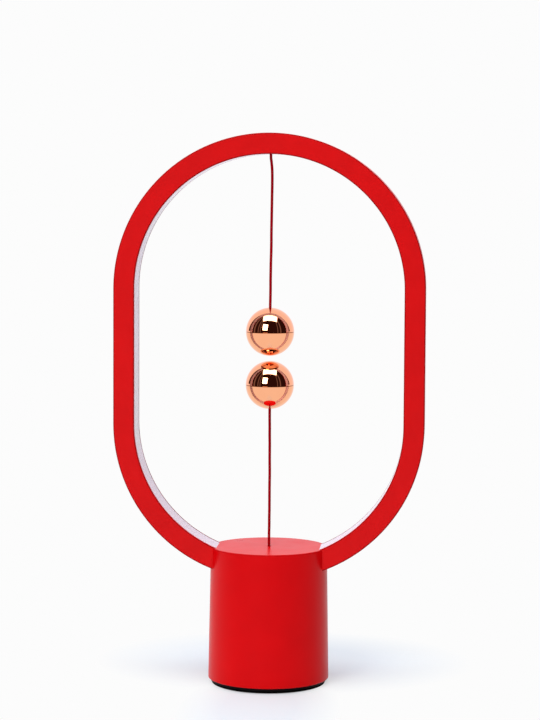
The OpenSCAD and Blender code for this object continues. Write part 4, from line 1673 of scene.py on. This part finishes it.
@dataclass
class Ball:
    """One plated ball: a half that the cord enters, and a half that holds the magnet.

    The heights of its parts are measured from its middle, along its axis.

    Attributes:
        name: "upper" or "lower".
        centre: Height of its middle.
        up: 1 if the cord enters from above, -1 if from below.
        wall: Thickness of the shells.
        seam: Depth of the groove where the halves meet.
        bevel: Height at which the groove's slope ends, and its depth there over the seam's.
        hole_r: Radius of the cord's hole.
        hole_edge_r: Radius of the hole's outer edge.
        hole_edge_deg: Angle of that edge, from the hole's wall to the sphere.
        hole_edge_steps: Points on it.
        seat_r: Radius of the pocket for the knot.
        seat_at: Height of the pocket's end.
        magnet_r: Radius of the magnet's pocket.
        magnet_end: Height of its end.
        collar_r: Radius of the collar round the magnet.
        collar_top: Height of the collar.
        lip: How far inside the shell's inner sphere the lip's two faces lie.
        lip_h: How far the lip reaches into the other half.
        lip_root: How far it reaches back into its own.
        cord_arcs: Points along the outer and the inner sphere of the cord's half.
        magnet_arcs: The same of the magnet's half.
        sides: Faces round the axis.
    """

    name: str
    centre: float
    up: int
    wall: float = 1.5 * MM
    seam: float = 0.16 * MM
    bevel: tuple[float, float] = (0.02 * MM, 1.2)
    hole_r: float = 0.7 * MM
    hole_edge_r: float = 0.18 * MM
    hole_edge_deg: float = 75
    hole_edge_steps: int = 5
    seat_r: float = 2.4 * MM
    seat_at: float = 7.4 * MM
    magnet_r: float = 4.55 * MM
    magnet_end: float = 7.69 * MM
    collar_r: float = 5.65 * MM
    collar_top: float = 4.69 * MM
    lip: tuple[float, float] = (0.15 * MM, 1.15 * MM)
    lip_h: float = 1 * MM
    lip_root: float = 2 * MM
    cord_arcs: tuple[int, int] = (56, 28)
    magnet_arcs: tuple[int, int] = (64, 20)
    sides: int = 144

    def placed(self, profile: Array) -> Shell:
        """Turns a profile round the ball's axis, at the ball's height, and marks the seam.

        Args:
            profile: Points (r, z) from the ball's middle, for a cord that enters from above.

        Returns:
            The surface, with a mark of 1 in the seam's groove.
        """
        deep = profile[:, 0] > SIZES.ball_r - 2 * self.seam
        marks = np.where(deep & (np.abs(profile[:, 1]) < self.seam / 2), 1.0, 0.0)
        profile = profile * np.array([1, self.up])
        return moved(turned(profile, self.sides, marks), 0, 0, self.centre)

    def groove(self, sign: int) -> Array:
        """The edge of a half at the seam: a short slope from the sphere to the joint.

        Args:
            sign: 1 for the cord's half, -1 for the magnet's.

        Returns:
            Points (r, z), shape (3, 2).
        """
        r = SIZES.ball_r
        a = math.degrees(self.seam / r)
        height, depth = self.bevel
        slope = [[r - self.seam, sign * height], [r - self.seam * depth, 0]]
        return np.concatenate([sphere_arc(r, sign * a, sign * a, 1), slope])

    def cord_half(self) -> Shell:
        """The half with the cord's hole.

        The outline runs over the outer sphere from the seam to the hole, down the hole to its
        pocket, out to the inner sphere and back along it to the joint.

        Returns:
            The half.
        """
        r, inner = SIZES.ball_r, SIZES.ball_r - self.wall
        soft = self.hole_edge_r
        rim = self.hole_r + soft
        top = math.degrees(math.acos(rim / r))
        start = math.degrees(self.seam / r)
        seat_z = math.sqrt(inner**2 - self.seat_r**2)
        rim_z = math.sqrt(r**2 - rim**2)
        turn = np.radians(np.linspace(self.hole_edge_deg, 0, self.hole_edge_steps))
        edge = np.stack([rim - soft * np.cos(turn), rim_z - soft + soft * np.sin(turn)], -1)
        outside, inside = self.cord_arcs
        profile = np.concatenate(
            [
                sphere_arc(r, start, top, outside),
                edge,
                [[self.hole_r, self.seat_at], [self.seat_r, self.seat_at], [self.seat_r, seat_z]],
                sphere_arc(inner, math.degrees(math.asin(seat_z / inner)), 0, inside)[1:],
                self.groove(1)[::-1],
            ]
        )
        return self.placed(profile)

    def magnet_half(self) -> Shell:
        """The half with the magnet.

        The outline runs over the outer sphere from the pole to the seam, over the joint to the
        lip that enters the other half, and along the inside with the magnet's collar to the axis.

        Returns:
            The half.
        """
        r, inner = SIZES.ball_r, SIZES.ball_r - self.wall
        lip_out, lip_in = (inner - off for off in self.lip)
        low = math.degrees(math.asin(self.lip_root / inner))
        collar = math.degrees(math.acos(self.collar_r / inner))
        outside, inside = self.magnet_arcs
        profile = np.concatenate(
            [
                sphere_arc(r, -90, -math.degrees(self.seam / r), outside),
                self.groove(-1)[1:],
                [[lip_out, 0], [lip_out, self.lip_h]],
                [[lip_in, self.lip_h], [lip_in, -self.lip_root]],
                sphere_arc(inner, -low, -collar, inside),
                [
                    [self.collar_r, -self.collar_top], [self.magnet_r, -self.collar_top],
                    [self.magnet_r, -self.magnet_end], [0, -self.magnet_end],
                ],
            ]
        )
        return self.placed(profile)

    def build(self, shop: Workshop) -> None:
        """Makes both halves and dresses the magnet.

        Args:
            shop: Where pieces are made.
        """
        body = f"{self.name}_ball"
        cord_node, magnet_node = (f"{body}_{end}" for end in ("top", "bottom")[:: self.up])
        shop.fit(self.cord_half(), f"{cord_node}_skin", body, cord_node, COPPER)
        shop.fit(self.magnet_half(), f"{magnet_node}_skin", body, magnet_node, COPPER)
        shop.dress(NICKEL, f"{self.name}_magnet")


@dataclass
class PullSwitch:
    """The plunger in its guide, with the spring that draws it down on to the push switch.

    Attributes:
        coil_r: Radius of the spring at the middle of its wire.
        wire_r: Radius of the wire.
        low: Height of the spring's lower end.
        high: Height of its upper end.
        turns: Number of turns.
        rings: Rings of the wire's surface per turn.
        sides: Points per ring.
        tip: Length of the wire's round ends, as a share of its radius.
        tip_steps: Rings per end.
    """

    coil_r: float = 3.9 * MM
    wire_r: float = 0.25 * MM
    low: float = 40.05 * MM
    high: float = 48.95 * MM
    turns: int = 6
    rings: int = 40
    sides: int = 14
    tip: float = 0.9
    tip_steps: int = 5

    def spring(self) -> Shell:
        """The spring: a tube along the helix (R cos a, R sin a, z), z rising evenly with a.

        Returns:
            The spring.
        """
        a = np.linspace(0, FULL_TURN * self.turns, self.rings * self.turns + 1)
        z = np.linspace(self.low + self.wire_r, self.high - self.wire_r, len(a))
        helix = np.stack([self.coil_r * np.cos(a), self.coil_r * np.sin(a), z], -1)
        line, share = round_ends(helix, self.wire_r * self.tip, self.tip_steps)
        return from_grid(tube(line, self.wire_r * share[:, None], self.sides, (0, 0, 1)))

    def build(self, shop: Workshop) -> None:
        """Makes the spring, and dresses the plunger, the guide and the push switch.

        Args:
            shop: Where pieces are made.
        """
        shop.fit(self.spring(), "return_spring_coil", "base", "return_spring", SPRING_STEEL)
        shop.dress(ACETAL, "pull_plunger")
        shop.dress(
            WHITE_PLASTIC,
            "plunger_guide", "guide_cap", "upper_cord_bridge", "ring_saddle", "switch_button",
        )
        shop.dress(PART_BLACK, "switch_body")
        shop.dress(SOCKET_STEEL, "switch_cover")


@dataclass
class Electronics:
    """The circuit board with its parts, the wires to the ring and the light strip.

    Attributes:
        wire_r: Radius of a wire.
        wire_gap: Distance between the two wires.
        step: Distance between the rings of a wire's surface.
        sides: Points per ring.
        tip: Length of a wire's round ends, as a share of its radius.
        tip_steps: Rings per end.
        route: Points of the wires' middle line, in millimetres.
    """

    wire_r: float = 0.5 * MM
    wire_gap: float = 2.4 * MM
    step: float = 0.4 * MM
    sides: int = 12
    tip: float = 0.5
    tip_steps: int = 5
    route: tuple[Triple, ...] = (
        (10, -2, 21.7), (10, -2, 24), (9.9, -2, 27), (9.6, -1.9, 30), (9.2, -1.7, 33),
        (8.6, -1.4, 36), (8, -1.1, 39), (7.4, -0.8, 42), (7.3, -0.6, 44), (7.3, -0.5, 46),
        (7.7, -0.4, 47.6), (8.6, -0.4, 48.6), (9.8, -0.4, 48.9),
    )

    def wires(self) -> Shell:
        """Two round wires side by side.

        Returns:
            Both wires. The mark is 1 on the first and 0 on the second.
        """
        middle = np.array(self.route) * MM
        made = []
        for side, mark in ((-0.5, 1.0), (0.5, 0.0)):
            path = smooth_path(middle + [0, side * self.wire_gap, 0], self.step)
            line, share = round_ends(path[1:-1], self.wire_r * self.tip, self.tip_steps)
            grid = tube(line, self.wire_r * share[:, None], self.sides, (0, 1, 0))
            made.append(from_grid(grid, marks=np.full(grid.shape[:2], mark)))
        return join(*made)

    def build(self, shop: Workshop) -> None:
        """Makes the wires, and dresses the board, its parts and the light strip.

        Args:
            shop: Where pieces are made.
        """
        shop.fit(self.wires(), "led_wire_pair", "base", "led_wires", JACKETS)
        shop.dress(BOARD, "circuit_board")
        shop.dress(SOCKET_STEEL, "power_socket")
        shop.dress(BLACK_PLASTIC, "socket_tongue")
        shop.dress(PART_BLACK, "driver_chip", "resistors")
        shop.dress(PART_GREY, "power_inductor")
        shop.dress(CAN, "capacitors")
        shop.dress(WHITE_PLASTIC, "wire_connector")
        shop.dress(STRIP, "led_strip")
        shop.dress(PHOSPHOR, "led_chips")


# ---------------------------------------------------------------- the studio


def stand(data: bpy.types.ID, axes: tuple[Array, Array, Array], at: Triple) -> bpy.types.Object:
    """Links a camera or a lamp to the scene.

    Args:
        data: The camera or lamp, whose name the object takes.
        axes: Its unit axes to the right, upwards and backwards.
        at: Its place.

    Returns:
        The new object.
    """
    turn = np.eye(4)
    turn[:3] = np.stack([*axes, at], -1)
    obj = bpy.data.objects.new(data.name, data)
    bpy.context.scene.collection.objects.link(obj)
    obj.matrix_world = Matrix(turn.tolist())
    return obj


@dataclass(frozen=True)
class Softbox:
    """A rectangular lamp with white light, which the camera doesn't see.

    Attributes:
        name: Name of the lamp.
        at: Its middle.
        aim: The point that it faces.
        size: Width and height.
        watts: Its power.
    """

    name: str
    at: Triple
    aim: Triple
    size: tuple[float, float]
    watts: float

    def build(self) -> None:
        """Makes the lamp, with its width level."""
        data = bpy.data.lights.new(self.name, "AREA")
        data.shape, data.size, data.size_y = "RECTANGLE", *self.size
        data.energy = self.watts
        back = unit(np.array(self.at) - np.array(self.aim))
        side = unit(np.cross([0, 0, 1], back))
        lamp = stand(data, (side, np.cross(back, side), back), self.at)
        lamp.visible_camera = False


@dataclass
class Studio:
    """Camera, lamps, floor and backdrop.

    Attributes:
        camera_at: Place of the camera.
        yaw: Turn of the camera to the left, in radians.
        pitch: Turn downwards.
        roll: Turn about its own axis.
        lens: Focal length in millimetres.
        sensor: Long side of the camera's sensor in millimetres.
        clip: Nearest and furthest distance that the camera shows.
        boxes: The softboxes.
        floor_r: Radius of the floor.
        floor_near: Radius of its middle part, whose rings of faces lie closer.
        floor_rings: Circles of points in its middle part and outside it.
        floor_sides: Faces round the floor.
        paper: Colour of the floor.
        paper_rough: Roughness of the floor.
        paper_level: Strength of its plain reflection.
        shaded: Middle (x, y) and half sizes (x, y) of the patches where the floor shows shade.
        shade_core: Part of a patch, from its middle, where the shade shows fully.
        shade_glow: Share of the glow that is left there.
        backdrop: sRGB level of the backdrop.
        tent: Strength of the tent's light.
        tent_lean: How much stronger it is on the left than in the middle.
        tent_tint: Colour of the tent's light.
        cloth_end: How steeply the cloth's light falls off from back to front, half way round.
        roof: Strength of the light from straight above.
        roof_power: How closely it keeps to the middle: the power of the direction's height.
        mirror: Strength of the backdrop as mirrors see it.
        mirror_tint: Colour of the backdrop as mirrors see it.
        room_edge: Where the dark room begins, above the horizon: the direction's part to the
            back, and how much that changes with its part to the right and upwards.
        room_sill: Height of a direction at which the room ends, below the horizon.
        room_tint: Colour of the dark room that mirrors see in front.
        upright_tint: Colour of the uprights in that room.
        uprights: Angle from the front to the right and width of each upright, in degrees.
        upright_slope: How steeply an upright fades at its sides, over its width.
    """

    camera_at: Triple = (0.0763, -1.0097, 0.2199)
    yaw: float = 0.0754
    pitch: float = 0.0771
    roll: float = 0.0052
    lens: float = 116.72
    sensor: float = 36.0
    clip: tuple[float, float] = (0.01, 50.0)
    boxes: tuple[Softbox, ...] = (
        Softbox("overhead", (0.04, -0.245, 1.35), (0.04, 0.565, 0.283), (1.22, 0.87), 14.6),
        Softbox("window", (-0.72, -1.91, 1.05), (0, 0, 0.15), (0.90, 1.12), 19.3),
    )
    floor_r: float = 1.8
    floor_near: float = 0.3
    floor_rings: tuple[int, int] = (31, 41)
    floor_sides: int = 96
    paper: Rgb = (218, 229, 234)
    paper_rough: float = 0.5
    paper_level: float = 0.15
    shaded: tuple[tuple[float, float, float, float], ...] = (
        (0.004, 0.045, 0.086, 0.072), (0.0, -0.055, 0.034, 0.095),
    )
    shade_core: float = 0.45
    shade_glow: float = 0.25
    backdrop: int = 252
    tent: float = 0.7
    tent_lean: float = 0.68
    tent_tint: Rgb = (238, 240, 255)
    cloth_end: float = 5.0
    roof: float = 0.6
    roof_power: float = 3.0
    mirror: float = 1.04
    mirror_tint: Rgb = (252, 247, 254)
    room_edge: Triple = (0.46, -0.05, -0.3)
    room_sill: float = -0.12
    room_tint: Rgb = (44, 22, 20)
    upright_tint: Rgb = (126, 106, 104)
    uprights: tuple[tuple[float, float], ...] = ((-76, 7), (-55, 4), (-44, 3), (42, 3), (57, 5))
    upright_slope: float = 2.0

    def camera(self) -> None:
        """Places the camera: its axes follow from yaw, pitch and roll."""
        yaw, pitch, roll = self.yaw, self.pitch, self.roll
        ahead = np.array(
            [-math.sin(yaw) * math.cos(pitch), math.cos(yaw) * math.cos(pitch), -math.sin(pitch)]
        )
        right = np.array([math.cos(yaw), math.sin(yaw), 0])
        up = np.cross(right, ahead)
        across = math.cos(roll) * right + math.sin(roll) * up
        upright = -math.sin(roll) * right + math.cos(roll) * up
        data = bpy.data.cameras.new("camera")
        data.lens, data.sensor_width, data.sensor_fit = self.lens, self.sensor, "AUTO"
        data.clip_start, data.clip_end = self.clip
        bpy.context.scene.camera = stand(data, (across, upright, -ahead), self.camera_at)

    def floor(self) -> None:
        """A pale round floor that melts into the backdrop outside the patches of shade.

        It glows like the backdrop, but only the camera, mirrors and clear things see the glow,
        so it throws no light on the lamp.
        """
        near, far = self.floor_rings
        fine = np.linspace(0, self.floor_near, near)
        r = np.concatenate([fine, np.linspace(self.floor_near, self.floor_r, far)[1:]])
        obj = put(turned(np.stack([r, np.zeros(len(r))], -1), self.floor_sides), "studio_floor")
        skin = Skin("studio_floor")
        where = skin.add("TexCoord").outputs["Object"]
        reach: Socket | float = 2.0  # outside every patch
        for across, ahead, wide, deep in self.shaded:
            share = skin.add(
                "Mapping", Vector=where, Location=(-across / wide, -ahead / deep, 0),
                Scale=(1 / wide, 1 / deep, 1),
            )
            length = skin.add("VectorMath", Vector=share.outputs[0])
            length.operation = "LENGTH"
            reach = skin.maths("MINIMUM", length.outputs["Value"], reach)
        melt = skin.span(reach, self.shade_glow, 1.0, self.shade_core, 1.0)
        rays = skin.add("LightPath").outputs
        mirrored = skin.maths("MAXIMUM", rays["Is Glossy Ray"], rays["Is Transmission Ray"])
        seen = skin.maths("MAXIMUM", rays["Is Camera Ray"], mirrored)
        skin.set(
            Base_Color=linear(*self.paper),
            Roughness=self.paper_rough,
            Specular_IOR_Level=self.paper_level,
        )
        glow = skin.add("Emission", Color=linear(*[self.backdrop] * 3), Strength=1.0)
        shown = skin.maths("MULTIPLY", melt, seen)
        surface = skin.mix(shown, skin.shader.outputs[0], glow.outputs[0])
        skin.feed(skin.output.inputs[0], surface)
        obj.data.materials.append(skin.material)
        if obj.data.polygons[0].normal.z < 0:
            obj.data.flip_normals()

    def world(self) -> None:
        """A tent of white cloth that is open to the front, where a dark room lies.

        Surfaces get soft light from the cloth, more from the left than from the right, and from
        the roof. The camera sees the white backdrop all round. Mirrors see the backdrop behind
        the lamp, and the dark room with its brown uprights in front of it.
        """
        world = bpy.data.worlds.new("studio")
        bpy.context.scene.world = world
        sky = Nodes(world)
        maths = sky.maths
        rays = sky.add("LightPath").outputs
        x, y, z = sky.add("SeparateXYZ", Vector=sky.add("TexCoord").outputs["Generated"]).outputs
        cloth = maths("MULTIPLY_ADD", y, self.cloth_end, 0.5, clamp=True)
        lean = maths("MULTIPLY_ADD", x, -self.tent_lean, self.tent)
        high = maths("POWER", maths("MAXIMUM", z, 0.0), self.roof_power)
        light = maths("ADD", maths("MULTIPLY", cloth, lean), maths("MULTIPLY", high, self.roof))
        tent = sky.light(self.tent_tint, light)
        level, rightwards, upwards = self.room_edge
        edge = maths("MULTIPLY_ADD", z, upwards, maths("MULTIPLY_ADD", x, rightwards, level))
        above = maths("MULTIPLY", maths("LESS_THAN", y, edge), maths("GREATER_THAN", z, 0.0))
        below = maths(
            "MULTIPLY", maths("LESS_THAN", y, 0.0), maths("GREATER_THAN", z, self.room_sill)
        )
        turn = maths("ARCTAN2", x, maths("MULTIPLY", y, -1.0))
        inside = (1 + self.upright_slope) / 2
        bright: Socket | float = 0.0
        for angle, width in self.uprights:
            off = maths("ABSOLUTE", maths("SUBTRACT", turn, math.radians(angle)))
            fall = -self.upright_slope / math.radians(width)
            bright = maths("MAXIMUM", bright, maths("MULTIPLY_ADD", off, fall, inside, clamp=True))
        room = sky.mix(bright, sky.light(self.room_tint), sky.light(self.upright_tint))
        behind = sky.light(self.mirror_tint, self.mirror)
        mirrored = sky.mix(maths("MAXIMUM", above, below), behind, room)
        seen = maths("ADD", rays["Is Camera Ray"], rays["Is Transmission Ray"], clamp=True)
        direct = sky.mix(seen, tent, sky.light((self.backdrop,) * 3))
        shown = sky.mix(rays["Is Glossy Ray"], direct, mirrored)
        sky.feed(sky.add("OutputWorld").inputs[0], shown)

    def build(self) -> None:
        """Makes the whole studio."""
        bpy.context.scene.view_settings.view_transform = "Standard"
        self.camera()
        self.floor()
        self.world()
        for box in self.boxes:
            box.build()
        LOG.info("studio: camera, floor, backdrop and %d softboxes", len(self.boxes))


def main() -> None:
    """Builds the studio, then the lamp from its cords outwards."""
    logging.basicConfig(level=logging.INFO, format="%(name)s: %(message)s")
    shop = Workshop()
    Studio().build()
    cords = Cords()
    cords.build(shop)
    CordRoots().build(shop, cords)
    LightRing().build(shop)
    Base().build(shop)
    Ball("upper", SIZES.upper_ball_z, 1).build(shop)
    Ball("lower", SIZES.lower_ball_z, -1).build(shop)
    PullSwitch().build(shop)
    Electronics().build(shop)


if __name__ == "__main__":
    main()
